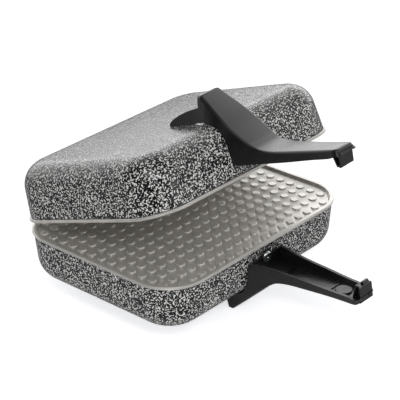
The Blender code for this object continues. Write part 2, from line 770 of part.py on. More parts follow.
def nub_meshes(grip_depth):
    """The nub at the tip: a narrow core between its face and a wider plate, with a cap and a ridge."""
    base = grip_depth - HANDLE_WEB / 2
    face = NUB_FACE_WIDTH / 2
    core = NUB_CORE_WIDTH / 2
    face_top = face - NUB_TAPER / 2
    top = NUB_SETBACK + NUB_TAPER
    top_end = top + NUB_TOP_LENGTH
    depths = (base, NUB_FLAT_DEPTH)
    front = tapered_block(
        face,
        face_top,
        (NUB_SETBACK, NUB_SETBACK + NUB_PLATE),
        (top, top + NUB_PLATE),
        (base, NUB_FLAT_DEPTH + NUB_STEP),
    )
    rear = tapered_block(
        NUB_WIDTH / 2,
        NUB_WIDTH / 2 - NUB_TAPER,
        (NUB_LENGTH - NUB_PLATE, NUB_LENGTH),
        (top_end - NUB_PLATE, top_end),
        depths,
    )
    middle = tapered_block(
        core,
        core,
        (NUB_SETBACK + STUD_ROOT, NUB_LENGTH - STUD_ROOT),
        (top + STUD_ROOT, top_end - STUD_ROOT),
        (base, NUB_FLAT_DEPTH + 2 * NUB_STEP),
    )
    cap_low = place(STUD_ROOT - face_top, TIP_Y + top + STUD_ROOT, NUB_FLAT_DEPTH + NUB_CAP)
    cap_high = place(face_top - STUD_ROOT, TIP_Y + top_end - STUD_ROOT, NUB_FLAT_DEPTH + NUB_STEP / 2)
    outer = face_top - NUB_STEP
    low = place(outer - NUB_RIDGE_WIDTH, TIP_Y + top + NUB_STEP, NUB_FLAT_DEPTH + STUD_ROOT)
    high = place(outer, TIP_Y + top_end - NUB_PLATE - STUD_ROOT, NUB_RIDGE_DEPTH)
    return [front, rear, middle, block("cap", cap_low, cap_high), block("ridge", low, high)]


def pad_mesh(grip_depth):
    """The low disc moulded near the tip."""
    frame = Matrix.Translation(place(0, TIP_Y + PAD_FROM_TIP, grip_depth - HANDLE_WEB))
    return rod("pad", PAD_RADIUS, -STUD_ROOT, PAD_RISE, PIN_SIDES, frame)


def handle_mesh(grip_depth, grip_edge):
    """The whole handle moulding, from its grip's depth and its edge's."""
    stations = handle_stations(grip_depth, grip_edge)
    joined = [foot_mesh(stations), wing_mesh(-1, stations), wing_mesh(1, stations)]
    joined += [root_wall_mesh(), tip_wall_mesh(stations), *nub_meshes(grip_depth), pad_mesh(grip_depth)]
    frame = handle_screw_frame()
    hole = rod("hole", SCREW_HOLE, -ROOT_WALL - CUT_OVERRUN, CUT_OVERRUN, SCREW_SIDES, frame)
    return combined("handle", channel_mesh(stations), joined, [hole])


def rear_y(depth, offset):
    """The y of the rear wall's outer skin at a depth, moved outwards."""
    return RIM_WIDTH / 2 - wall_inset(depth, offset)


def bracket_plate_mesh():
    """The plate of a hinge bracket, which lies on the shell's rear wall."""
    outline = [
        place(-BRACKET_HALF, rear_y(BRACKET_TOP, TOUCH_GAP), BRACKET_TOP),
        place(-BRACKET_HALF, rear_y(BRACKET_TOP, TOUCH_GAP + BRACKET_PLATE), BRACKET_TOP),
        place(-BRACKET_HALF, rear_y(BRACKET_BOTTOM, TOUCH_GAP + BRACKET_PLATE), BRACKET_BOTTOM),
        place(-BRACKET_HALF, rear_y(BRACKET_BOTTOM, TOUCH_GAP), BRACKET_BOTTOM),
    ]
    return prism("bracket_plate", outline, Vector((2 * BRACKET_HALF, 0, 0)))


def knuckle_mesh(start, side):
    """A knuckle round the hinge axis with the arm that carries it, on one side."""
    low = side * start if side > 0 else -start - KNUCKLE_LENGTH
    outline = [place(low, rear_y(ARM_ROOT, BRACKET_PLATE / 2), ARM_ROOT)]
    outline.append(place(low, rear_y(BRACKET_TOP, BRACKET_PLATE / 2), BRACKET_TOP + STUD_ROOT))
    for step in range(KNUCKLE_STEPS + 1):
        angle = KNUCKLE_FRONT + (KNUCKLE_REAR - KNUCKLE_FRONT) * step / KNUCKLE_STEPS
        y = HINGE_Y + KNUCKLE_RADIUS * math.cos(angle)
        outline.append(place(low, y, KNUCKLE_RADIUS * math.sin(angle)))
    outline.append(place(low, rear_y(ARM_ROOT, BRACKET_PLATE), ARM_ROOT))
    return prism("knuckle", outline, Vector((KNUCKLE_LENGTH, 0, 0)))


def bracket_holes():
    """The screw holes and the pin's hole."""
    reach = BRACKET_PLATE + CUT_OVERRUN
    holes = [rod("hole", SCREW_HOLE, -reach, CUT_OVERRUN, SCREW_SIDES, frame) for frame in bracket_screw_frames()]
    pin = rod(
        "pin_hole", PIN_RADIUS + PIN_CLEARANCE * 2, -BRACKET_HALF, BRACKET_HALF,
        PIN_SIDES, along_x(0, HINGE_Y, 0),
    )
    return holes + [pin]


def leg_foot_y():
    """The middle of a rear leg's foot, which starts where the shell's flat face does."""
    inset, depth = fillet_point(1.0)
    return RIM_WIDTH / 2 - inset + LEG_LENGTH / 2


def leg_mesh(side):
    """One rear leg, which follows the shell's rounded edge down to its foot."""
    skin = shell_skin(TOUCH_GAP)[1:]
    foot_depth = STAND_DEPTH - FOOT_PAD
    points = [(rear_y(LEG_TOP, BRACKET_PLATE / 2), LEG_TOP)]
    points += [(RIM_WIDTH / 2 - inset, depth) for inset, depth in skin]
    points += [
        (leg_foot_y() - LEG_LENGTH / 2, foot_depth),
        (leg_foot_y() + LEG_LENGTH / 2, foot_depth),
        (rear_y(LEG_TOP, BRACKET_PLATE) - STUD_ROOT, LEG_KNEE_DEPTH),
        (rear_y(LEG_TOP, BRACKET_PLATE), LEG_TOP),
    ]
    inner = side * (OUTER_KNUCKLE_START + STUD_ROOT)
    outline = [place(inner, y, depth) for y, depth in points]
    return prism("leg", outline, Vector((side * LEG_WIDTH, 0, 0)))


def bracket_mesh(start, legs):
    """A hinge bracket with its knuckles from a distance either side of the middle."""
    knuckles = [knuckle_mesh(start, side) for side in (-1, 1)]
    return combined("bracket", bracket_plate_mesh(), knuckles + legs, bracket_holes())


def foot_pad_mesh():
    """The rubber pad under a rear leg, from its own middle."""
    half = LEG_WIDTH / 2 - FOOT_PAD_MARGIN
    deep = LEG_LENGTH / 2 - FOOT_PAD_MARGIN
    return block("pad", Vector((-half, -deep, 0)), Vector((half, deep, FOOT_PAD - TOUCH_GAP)))


def foot_pad_frames():
    """Where the two pads stand."""
    middle = OUTER_KNUCKLE_START + LEG_WIDTH / 2
    return [Matrix.Translation(place(side * middle, leg_foot_y(), STAND_DEPTH)) for side in (-1, 1)]


def pin_mesh():
    """The hollow hinge pin, through whose bore the leads pass."""
    half = PIN_HALF
    profile = ((PIN_BORE, -half), (PIN_RADIUS, -half), (PIN_RADIUS, half), (PIN_BORE, half))
    return hollow_turned("pin", profile, PIN_SIDES, along_x(0, HINGE_Y, 0))


def clip_mesh():
    """A retaining ring of the hinge pin."""
    inner = PIN_RADIUS + TOUCH_GAP
    outer = inner + CLIP_RIM
    half = CLIP_THICKNESS / 2
    profile = ((inner, -half), (outer, -half), (outer, half), (inner, half))
    return hollow_turned("clip", profile, PIN_SIDES, Matrix())


def clip_frames():
    """The places of the two retaining rings, just outside the outer knuckles."""
    x = OUTER_KNUCKLE_START + KNUCKLE_LENGTH + TOUCH_GAP + CLIP_THICKNESS / 2
    return [along_x(side * x, HINGE_Y, 0) for side in (-1, 1)]


def bend_path(corners, radius):
    """Points along straight runs joined by round bends."""
    points = [corners[0]]
    for before, corner, after in zip(corners, corners[1:], corners[2:]):
        into = (corner - before).normalized()
        out = (after - corner).normalized()
        turn = into.angle(out)
        setback = radius * math.tan(turn / 2)
        start = corner - into * setback
        centre = start + (out - into * into.dot(out)).normalized() * radius
        axis = into.cross(out).normalized()
        for step in range(BEND_STEPS + 1):
            swing = Matrix.Rotation(turn * step / BEND_STEPS, 3, axis)
            points.append(centre + swing @ (start - centre))
    points.append(corners[-1])
    return points


def heater_points():
    """The heater's folded run under the plate."""
    right = [
        (HEATER_END_X, HEATER_END_Y),
        (HEATER_END_X, HEATER_REAR_Y),
        (HEATER_HALF_X, HEATER_REAR_Y),
        (HEATER_HALF_X, -HEATER_FRONT_Y),
        (HEATER_INNER_X, -HEATER_FRONT_Y),
        (HEATER_INNER_X, HEATER_FOLD_Y),
    ]
    run = right + [(-x, y) for x, y in reversed(right)]
    return bend_path([place(x, y, HEATER_DEPTH) for x, y in run], HEATER_BEND)


def smooth_path(corners, step):
    """Points along a smooth curve through a route's own points."""
    ends = [corners[0] * 2 - corners[1], *corners, corners[-1] * 2 - corners[-2]]
    points = []
    for a, b, c, d in zip(ends, ends[1:], ends[2:], ends[3:]):
        count = max(1, round((c - b).length / step))
        for here in range(count):
            t = here / count
            line = (b * 2 + (c - a) * t + (a * 2 - b * 5 + c * 4 - d) * t**2 + (b * 3 - a - c * 3 + d) * t**3) / 2
            points.append(line)
    points.append(corners[-1])
    return points


def tube_mesh(points, radius):
    """A round tube along points, with closed ends."""
    curve = bpy.data.curves.new("tube", "CURVE")
    curve.dimensions = "3D"
    curve.fill_mode = "FULL"
    curve.bevel_depth = radius
    curve.bevel_resolution = 1
    curve.use_fill_caps = True
    line = curve.splines.new("POLY")
    line.points.add(len(points) - 1)
    for spot, point in zip(line.points, points):
        spot.co = (*point, 1)
    holder = bpy.data.objects.new("tube", curve)
    bpy.context.scene.collection.objects.link(holder)
    graph = bpy.context.evaluated_depsgraph_get()
    mesh = bpy.data.meshes.new_from_object(holder.evaluated_get(graph))
    bpy.data.objects.remove(holder)
    bm = bmesh.new()
    bm.from_mesh(mesh)
    bmesh.ops.remove_doubles(bm, verts=bm.verts, dist=TOUCH_GAP / 10)
    return to_mesh("tube", bm)


def heater_mesh():
    """The sheathed heater with the flat terminals at its two cold ends."""
    tabs = []
    for side in (-1, 1):
        x = side * HEATER_END_X
        low = place(x - TAB_WIDTH / 2, HEATER_END_Y - STUD_ROOT, HEATER_DEPTH + TAB_THICKNESS / 2)
        high = place(x + TAB_WIDTH / 2, HEATER_END_Y + TAB_LENGTH, HEATER_DEPTH - TAB_THICKNESS / 2)
        tabs.append(block("tab", low, high))
    return combined("heater", tube_mesh(heater_points(), HEATER_RADIUS), tabs)


def clamp_mesh():
    """A bar that holds the heater up against the plate, from its own middle."""
    low = Vector((-CLAMP_HALF, -CLAMP_WIDTH / 2, 0))
    high = Vector((CLAMP_HALF, CLAMP_WIDTH / 2, CLAMP_THICKNESS))
    hole = rod("hole", SMALL_SCREW_HOLE, -CUT_OVERRUN, CLAMP_THICKNESS + CUT_OVERRUN, SCREW_SIDES, Matrix())
    return combined("clamp", block("bar", low, high), cut=[hole])


def small_screw(bite):
    """A small screw with its head's seat at its own origin."""
    return screw("small_screw", SMALL_SCREW_RADIUS, SMALL_HEAD_RADIUS, SMALL_HEAD_HEIGHT, bite, Matrix())


def reflector_half_x():
    """Half the reflector's length, which stops short of the inlet's pin tails."""
    return inlet_tail(0).x - REFLECTOR_INLET_GAP


def reflector_mesh():
    """The reflector: a shallow sheet tray with a window over the middle of the plate."""
    rings = []
    for inset, depth in (
        (REFLECTOR_SHEET, REFLECTOR_DEPTH),
        (REFLECTOR_SHEET, REFLECTOR_DEPTH - REFLECTOR_LIP),
        (0, REFLECTOR_DEPTH - REFLECTOR_LIP),
        (0, REFLECTOR_BACK),
    ):
        half_x = reflector_half_x() - inset
        half_y = REFLECTOR_HALF_Y - inset
        rings.append(rounded(half_x, half_y, REFLECTOR_CORNER, depth, REFLECTOR_STEPS))
    holes = [window_tool()]
    for x, y in [*reflector_screw_places(), (0, BLOCK_Y)]:
        frame = downward(x, y, REFLECTOR_DEPTH)
        holes.append(rod("hole", SMALL_SCREW_HOLE, -CUT_OVERRUN, REFLECTOR_SHEET + CUT_OVERRUN, SCREW_SIDES, frame))
    return combined("reflector", loft("sheet", rings), cut=[gathered("holes", holes)])


def window_tool():
    """The window of the reflector."""
    frame = downward(0, THERMOSTAT_Y, REFLECTOR_DEPTH)
    return rod(
        "window", REFLECTOR_WINDOW, -CUT_OVERRUN, REFLECTOR_SHEET + CUT_OVERRUN, THERMOSTAT_SIDES, frame,
    )


def terminal_block_mesh():
    """The ceramic terminal block under the reflector."""
    top = REFLECTOR_BACK + TOUCH_GAP
    low = place(-BLOCK_LENGTH / 2, BLOCK_Y - BLOCK_WIDTH / 2, top + BLOCK_HEIGHT)
    high = place(BLOCK_LENGTH / 2, BLOCK_Y + BLOCK_WIDTH / 2, top)
    frame = downward(0, BLOCK_Y, top)
    hole = rod("hole", SMALL_SCREW_HOLE, -CUT_OVERRUN, BLOCK_HEIGHT + CUT_OVERRUN, SCREW_SIDES, frame)
    return combined("terminal_block", block("ceramic", low, high), cut=[hole])


def block_port(share, side):
    """A wire's end at the terminal block: a share of its length, and -1 for its front or 1 for its rear."""
    y = BLOCK_Y + side * (BLOCK_WIDTH + WIRE_RADIUS) / 2
    return place(share * BLOCK_LENGTH, y, BLOCK_MIDDLE)


def heater_wire_mesh(side):
    """The wire from the terminal block round the reflector's rear edge to a heater terminal."""
    x = side * HEATER_END_X
    start = block_port(side * 0.17, 1)
    route = [
        start,
        place((start.x + x) / 2, REFLECTOR_HALF_Y - WIRE_CLEAR / 2, REFLECTOR_BACK + WIRE_CLEAR),
        place(x, REFLECTOR_HALF_Y + WIRE_CLEAR, REFLECTOR_BACK),
        place(x, HEATER_END_Y + TAB_LENGTH / 2, HEATER_DEPTH + TAB_THICKNESS + WIRE_RADIUS),
    ]
    return tube_mesh(smooth_path(route, WIRE_STEP), WIRE_RADIUS)


def lead_mesh():
    """The link lead: from the block, out through the grommet and round into the hollow hinge pin."""
    hole = on_wall("rear", LEAD_X, LEAD_DEPTH)
    outward = hole.to_3x3() @ Vector((0, 0, 1))
    seat = hole.translation
    clear = WIRE_CLEAR + LEAD_RADIUS
    mouth = Vector((PIN_HALF, HINGE_Y, 0))
    start = block_port(0.42, 1)
    route = [
        start,
        start + Vector((0, clear / 2, 0)),
        place(LEAD_X * 0.6, REFLECTOR_HALF_Y - clear / 2, REFLECTOR_BACK + clear),
        place(LEAD_X * 0.85, REFLECTOR_HALF_Y + clear, REFLECTOR_BACK),
        *[seat + outward * LEAD_STRAIGHT * share for share in (-1, -0.5, 0, 0.3, 0.6)],
        Vector((LEAD_X - LEAD_RADIUS, HINGE_Y, -LEAD_DEPTH / 3)),
        mouth + Vector((KNUCKLE_RADIUS, 0, 0)),
        mouth,
        Vector((TOUCH_GAP, HINGE_Y, 0)),
    ]
    return tube_mesh(smooth_path(route, WIRE_STEP), LEAD_RADIUS)


def grommet_mesh():
    """The grommet where the link lead passes the shell's wall."""
    inner = -SHELL_WALL - GROMMET_CLEARANCE
    outer = GROMMET_CLEARANCE
    profile = (
        (GROMMET_BORE, inner - GROMMET_FLANGE),
        (GROMMET_RADIUS, inner - GROMMET_FLANGE),
        (GROMMET_RADIUS, inner),
        (GROMMET_NECK, inner),
        (GROMMET_NECK, outer),
        (GROMMET_RADIUS, outer),
        (GROMMET_RADIUS, outer + GROMMET_FLANGE),
        (GROMMET_BORE, outer + GROMMET_FLANGE),
    )
    return hollow_turned("grommet", profile, GROMMET_SIDES, on_wall("rear", LEAD_X, LEAD_DEPTH))


def thermostat_mesh():
    """The thermostat's can on its flange, with two terminal pins."""
    top = PLATE_UNDERSIDE + TOUCH_GAP
    half = THERMOSTAT_FLANGE_LENGTH / 2
    deep = THERMOSTAT_FLANGE_WIDTH / 2
    low = place(-half, THERMOSTAT_Y - deep, top + THERMOSTAT_FLANGE)
    high = place(half, THERMOSTAT_Y + deep, top)
    seat = downward(0, THERMOSTAT_Y, top)
    can = rod("can", THERMOSTAT_RADIUS, STUD_ROOT, THERMOSTAT_HEIGHT, THERMOSTAT_SIDES, seat)
    reach = THERMOSTAT_HEIGHT + THERMOSTAT_PIN_LENGTH
    pins = []
    holes = []
    for side in (-1, 1):
        pin = downward(side * THERMOSTAT_PIN_X, THERMOSTAT_Y, top)
        pins.append(rod("pin", THERMOSTAT_PIN_RADIUS, THERMOSTAT_HEIGHT - STUD_ROOT, reach, SCREW_SIDES, pin))
        seat = downward(side * THERMOSTAT_SCREW_X, THERMOSTAT_Y, top)
        hole = rod("hole", SMALL_SCREW_HOLE, -CUT_OVERRUN, THERMOSTAT_FLANGE + CUT_OVERRUN, SCREW_SIDES, seat)
        holes.append(hole)
    joined = [can, gathered("pins", pins)]
    return combined("thermostat", block("flange", low, high), joined, [gathered("holes", holes)])


def thermostat_wire_mesh(side):
    """The wire from the terminal block to a pin of the thermostat."""
    start = block_port(side * 0.25, -1)
    depth = PLATE_UNDERSIDE + 2 * TOUCH_GAP + THERMOSTAT_HEIGHT + THERMOSTAT_PIN_LENGTH + WIRE_RADIUS
    halfway = place(side * THERMOSTAT_RADIUS, THERMOSTAT_Y + 2 * THERMOSTAT_RADIUS, -start.z)
    end = place(side * THERMOSTAT_PIN_X, THERMOSTAT_Y, depth)
    return tube_mesh(smooth_path([start, halfway, end], WIRE_STEP), WIRE_RADIUS)


def inlet_frame():
    """The inlet's frame on the right wall."""
    return on_wall("right", INLET_Y, INLET_DEPTH)


def inlet_housing_mesh():
    """The moulded appliance inlet, which snaps into the wall: its flange outside and its socket inside."""
    frame = inlet_frame()
    seat = TOUCH_GAP
    flange = framed_box(frame, INLET_FLANGE_LENGTH / 2, INLET_FLANGE_HEIGHT / 2, seat, seat + INLET_FLANGE)
    half_x = INLET_BODY_LENGTH / 2
    half_y = INLET_BODY_HEIGHT / 2
    body = framed_box(frame, half_x, half_y, -INLET_BODY_REACH, seat + INLET_FLANGE / 2)
    mouth = seat + INLET_FLANGE + CUT_OVERRUN
    floor = INLET_FLOOR - INLET_BODY_REACH
    socket = framed_box(frame, half_x - INLET_WALL, half_y - INLET_WALL, floor, mouth)
    low = -INLET_BODY_REACH - CUT_OVERRUN
    radius = INLET_PIN_RADIUS + TOUCH_GAP
    holes = [rod("hole", radius, low, floor + CUT_OVERRUN / 2, SCREW_SIDES, pin) for pin in inlet_pin_frames()]
    return combined("inlet_housing", flange, [body], [socket, gathered("holes", holes)])


def inlet_pin_frames():
    """The axes of the three contact pins, from the front to the rear."""
    return [inlet_frame() @ Matrix.Translation((side * INLET_PIN_SPACING, 0, 0)) for side in (-1, 0, 1)]


def inlet_pin_mesh():
    """A contact pin of the inlet with its tail inside, from the wall's skin."""
    return rod("pin", INLET_PIN_RADIUS, -INLET_BODY_REACH - INLET_TAIL, -INLET_PIN_RECESS, SCREW_SIDES, Matrix())


def inlet_tail(side, beyond=0.0):
    """The end of a contact pin's tail, or a point some way beyond it."""
    reach = INLET_BODY_REACH + INLET_TAIL + beyond
    return inlet_frame() @ Vector((side * INLET_PIN_SPACING, 0, -reach))


def supply_wire_mesh(side):
    """The wire from a pin's tail round the reflector's right edge to the terminal block."""
    tail = inlet_tail(side, TOUCH_GAP)
    edge = reflector_half_x()
    end = place(BLOCK_LENGTH / 2 + TOUCH_GAP, BLOCK_Y + side * BLOCK_WIDTH / 4, BLOCK_MIDDLE)
    under = place(edge - WIRE_CLEAR / 2, tail.y, REFLECTOR_BACK + WIRE_CLEAR)
    route = [
        tail,
        inlet_tail(side, TOUCH_GAP + WIRE_RADIUS),
        place((tail.x + edge) / 2, tail.y, REFLECTOR_BACK),
        under,
        under.lerp(end, 0.5),
        end,
    ]
    return tube_mesh(smooth_path(route, WIRE_STEP), WIRE_RADIUS)


def wall_screw(thickness):
    """A screw through a part of some thickness and the shell's wall into a lug, from its head's seat."""
    reach = thickness + SHELL_WALL + SCREW_TIP
    return screw("wall_screw", SCREW_RADIUS, SCREW_HEAD_RADIUS, SCREW_HEAD_HEIGHT, reach, Matrix())


def add(name, mesh, material, parent, frame):
    """Puts one named sub-part into the scene, placed in its half."""
    if not mesh.materials:
        mesh.materials.append(material)
        mesh.shade_smooth()
        mesh.set_sharp_from_angle(angle=SHARP_ANGLE)
    piece = bpy.data.objects.new(name, mesh)
    bpy.context.scene.collection.objects.link(piece)
    piece.parent = parent
    piece.matrix_local = frame
    return piece


def empty(name, parent, location, rotation=(0, 0, 0)):
    """A frame that pieces hang from."""
    frame = bpy.data.objects.new(name, None)
    bpy.context.scene.collection.objects.link(frame)
    frame.parent = parent
    frame.location = location
    frame.rotation_euler = rotation
    return frame


def materials():
    """The finishes of the iron."""
    return {
        "speckle": finish("speckled_enamel", (0.10, 0.10, 0.11), 0.25),
        "cast": finish("cast_aluminium", (0.50, 0.48, 0.45), 0.4, 1.0),
        "black": finish("black_plastic", (0.025, 0.025, 0.027), 0.45),
        "steel": finish("zinc_steel", (0.62, 0.64, 0.66), 0.3, 1.0),
        "heater": finish("heater_sheath", (0.28, 0.27, 0.26), 0.5, 1.0),
        "sheet": finish("reflector_sheet", (0.75, 0.75, 0.76), 0.3, 1.0),
        "ceramic": finish("white_ceramic", (0.80, 0.78, 0.72), 0.4),
        "rubber": finish("black_rubber", (0.03, 0.03, 0.03), 0.8),
        "sleeve": finish("glass_sleeve", (0.72, 0.66, 0.52), 0.8),
        "brass": finish("brass_contact", (0.70, 0.55, 0.25), 0.35, 1.0),
    }


SIDES = ("left", "right")


def pair(name, mesh, kind, frames):
    """The rows of a piece that a half has twice."""
    return [(f"{name}_{side}", mesh, kind, frame) for side, frame in zip(SIDES, frames)]


def common_pieces():
    """What each half has: name, mesh, finish and place in the half."""
    here = Matrix()
    clamp_depth = CLAMP_DEPTH + CLAMP_THICKNESS
    clamps = [Matrix.Translation(place(x, y, clamp_depth)) for x, y in clamp_places()]
    clamp_seats = [downward(x, y, clamp_depth + TOUCH_GAP) for x, y in clamp_places()]
    seats = [downward(x, y, REFLECTOR_BACK + TOUCH_GAP) for x, y in reflector_screw_places()]
    wires = [heater_wire_mesh(side) for side in (-1, 1)]
    under_block = downward(0, BLOCK_Y, BLOCK_MIDDLE + BLOCK_HEIGHT / 2 + TOUCH_GAP)
    lift = Matrix.Translation((0, 0, TOUCH_GAP))
    return [
        ("plate", plate_mesh(), "cast", here),
        ("handle_screw", wall_screw(ROOT_WALL), "steel", handle_screw_frame() @ lift),
        *pair("bracket_screw", wall_screw(BRACKET_PLATE), "steel", [seat @ lift for seat in bracket_screw_frames()]),
        ("heater", heater_mesh(), "heater", here),
        *pair("heater_clamp", clamp_mesh(), "steel", clamps),
        *pair("clamp_screw", small_screw(SMALL_SCREW_BITE), "steel", clamp_seats),
        ("reflector", reflector_mesh(), "sheet", here),
        *pair("reflector_screw", small_screw(SMALL_SCREW_BITE), "steel", seats),
        ("terminal_block", terminal_block_mesh(), "ceramic", here),
        ("block_screw", small_screw(BLOCK_HEIGHT + BLOCK_SCREW_TIP), "steel", under_block),
        ("heater_wire_left", wires[0], "sleeve", here),
        ("heater_wire_right", wires[1], "sleeve", here),
        ("link_lead", lead_mesh(), "sleeve", here),
        ("grommet", grommet_mesh(), "rubber", here),
    ]


def lower_pieces():
    """What only the lower half has."""
    here = Matrix()
    legs = [leg_mesh(side) for side in (-1, 1)]
    flange = PLATE_UNDERSIDE + THERMOSTAT_FLANGE + 2 * TOUCH_GAP
    seats = [downward(side * THERMOSTAT_SCREW_X, THERMOSTAT_Y, flange) for side in (-1, 1)]
    rows = [
        ("lower_shell", lower_shell_mesh(), "speckle", here),
        ("lower_handle", handle_mesh(LOWER_GRIP_DEPTH, LOWER_EDGE_DEPTH), "black", here),
        ("lower_hinge_bracket", bracket_mesh(OUTER_KNUCKLE_START, legs), "black", here),
        *pair("rear_foot_pad", foot_pad_mesh(), "rubber", foot_pad_frames()),
        ("hinge_pin", pin_mesh(), "steel", here),
        *pair("hinge_clip", clip_mesh(), "steel", clip_frames()),
        ("thermostat", thermostat_mesh(), "steel", here),
        *pair("thermostat_screw", small_screw(THERMOSTAT_BITE), "steel", seats),
        ("thermostat_wire_left", thermostat_wire_mesh(-1), "sleeve", here),
        ("thermostat_wire_right", thermostat_wire_mesh(1), "sleeve", here),
        ("inlet_housing", inlet_housing_mesh(), "black", here),
    ]
    pin = inlet_pin_mesh()
    for side, place_name, frame in zip((-1, 0, 1), ("front", "middle", "rear"), inlet_pin_frames()):
        rows.append((f"inlet_pin_{place_name}", pin, "brass", frame))
        rows.append((f"supply_wire_{place_name}", supply_wire_mesh(side), "sleeve", here))
    return rows


def upper_pieces():
    """What only the upper half has."""
    return [
        ("upper_shell", shell_mesh(), "speckle", Matrix()),
        ("upper_handle", handle_mesh(UPPER_GRIP_DEPTH, UPPER_EDGE_DEPTH), "black", Matrix()),
        ("upper_hinge_bracket", bracket_mesh(INNER_KNUCKLE_START, []), "black", Matrix()),
    ]


def build():
    """Builds the iron with its lid ajar."""
    clear_scene()
    finishes = materials()
    base = empty("waffle_iron", None, (0, -CENTRE_Y, STAND_DEPTH))
    lid_axis = empty("lid_axis", base, (0, HINGE_Y, 0), (-LID_OPEN, 0, 0))
    lid = empty("lid_half", lid_axis, (0, -HINGE_Y, 0), (0, math.pi, 0))
    for name, mesh, kind, frame in common_pieces():
        add(f"lower_{name}", mesh, finishes[kind], base, frame)
        add(f"upper_{name}", mesh, finishes[kind], lid, frame)
    for half, rows in ((base, lower_pieces()), (lid, upper_pieces())):
        for name, mesh, kind, frame in rows:
            add(name, mesh, finishes[kind], half, frame)


build()
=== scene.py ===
"""Dresses the waffle iron: smooth shells, plates, handles and hinge over the fixed frame, with their
finishes, and a pale studio round them.

Both halves are made from the same pieces. Each piece is modelled in a half's own frame, with the parting
plane at z = 0 and the half below it, and is then laid into place. Lengths are in metres.
"""

import json
import math
from collections import namedtuple

import bmesh
import bpy
from bpy.props import FloatProperty, FloatVectorProperty, IntProperty, PointerProperty
from bpy.types import Operator, Panel, PropertyGroup
from mathutils import Euler, Matrix, Vector


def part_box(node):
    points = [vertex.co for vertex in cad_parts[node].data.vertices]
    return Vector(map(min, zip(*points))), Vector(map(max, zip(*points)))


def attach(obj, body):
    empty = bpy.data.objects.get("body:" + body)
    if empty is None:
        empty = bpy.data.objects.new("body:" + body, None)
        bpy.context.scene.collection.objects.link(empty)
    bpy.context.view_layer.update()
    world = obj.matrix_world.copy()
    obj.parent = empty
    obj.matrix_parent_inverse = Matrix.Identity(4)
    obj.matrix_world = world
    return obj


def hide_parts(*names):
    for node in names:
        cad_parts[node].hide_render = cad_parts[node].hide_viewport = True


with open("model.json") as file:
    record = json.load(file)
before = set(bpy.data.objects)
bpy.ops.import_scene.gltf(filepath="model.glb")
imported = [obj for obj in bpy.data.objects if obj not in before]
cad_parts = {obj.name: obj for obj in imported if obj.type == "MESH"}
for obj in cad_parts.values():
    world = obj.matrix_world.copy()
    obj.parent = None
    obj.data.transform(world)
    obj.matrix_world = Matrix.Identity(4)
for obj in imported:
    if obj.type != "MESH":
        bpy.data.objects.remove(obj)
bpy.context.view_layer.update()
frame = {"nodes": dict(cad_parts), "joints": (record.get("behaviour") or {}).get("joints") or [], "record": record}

bl_info = {
    "name": "Waffle iron",
    "version": (1, 0, 0),
    "blender": (4, 5, 0),
    "location": "View3D > Sidebar > Waffle iron",
    "description": "Builds and finishes the pieces of a studded two-plate waffle iron",
    "category": "Add Mesh",
}

# Places and sizes that follow the frame
HINGE = frame["joints"][0]
HINGE_POINT = Vector(HINGE["pos_m"])
LID_OPEN = math.radians(-HINGE["range_deg"][0])
PARTING = HINGE_POINT.z
PLATE_LOW, PLATE_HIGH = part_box("lower_plate")
SHELL_LOW, SHELL_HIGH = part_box("lower_shell")
RIM_LENGTH = PLATE_HIGH.x - PLATE_LOW.x
RIM_WIDTH = PLATE_HIGH.y - PLATE_LOW.y
CENTRE_Y = (PLATE_LOW.y + PLATE_HIGH.y) / 2
HINGE_Y = HINGE_POINT.y - CENTRE_Y
STAND_DEPTH = PARTING
SHELL_TOP = PARTING - SHELL_HIGH.z
SHELL_FACE = PARTING - SHELL_LOW.z
SHELL_INSET = PLATE_HIGH.x - SHELL_HIGH.x
RIM_CLOSING_GAP = PARTING - PLATE_HIGH.z

# Clearances
TOUCH_GAP = 0.0003
CUT_OVERRUN = 0.002
MERGE_DISTANCE = 0.000003

# Plates
RIM_CORNER = 0.040
RIM_HEIGHT = 0.003
RIM_TOP_WIDTH = 0.004
RIM_SLOPE = 0.0012
RIM_ROUND = 0.0006
RIM_GROOVE = 0.0003
PLATE_RECESS = 0.0037
PLATE_FLOOR = RIM_CLOSING_GAP + PLATE_RECESS
PLATE_UNDERSIDE = 0.0097
SPIGOT_CLEARANCE = 0.001
STUD_PITCH = 0.0125
STUD_BASE_RADIUS = 0.00425
STUD_TOP_RADIUS = 0.0037
STUD_HEIGHT = 0.0012
STUD_ROUND = 0.0003
STUD_ROOT = 0.0003

# Rounds of the rim's profile, as shares of RIM_ROUND inwards and down from a corner: at the rim's outer
# edge, at its inner edge, and where its inner slope meets the plate's floor.
RIM_OUTER_ROUND = ((0.0, 1.0), (0.13, 0.5), (0.5, 0.13), (1.0, 0.0))
RIM_INNER_ROUND = ((-1.0, 0.0), (-0.4, 0.15), (0.0, 0.6))
RIM_FOOT_ROUND = ((-0.4, -1.2), (0.3, -0.4), (1.2, 0.0))

# Shells
SHELL_DRAFT = math.radians(5.2)
SHELL_FILLET = 0.024
SHELL_WALL = 0.002

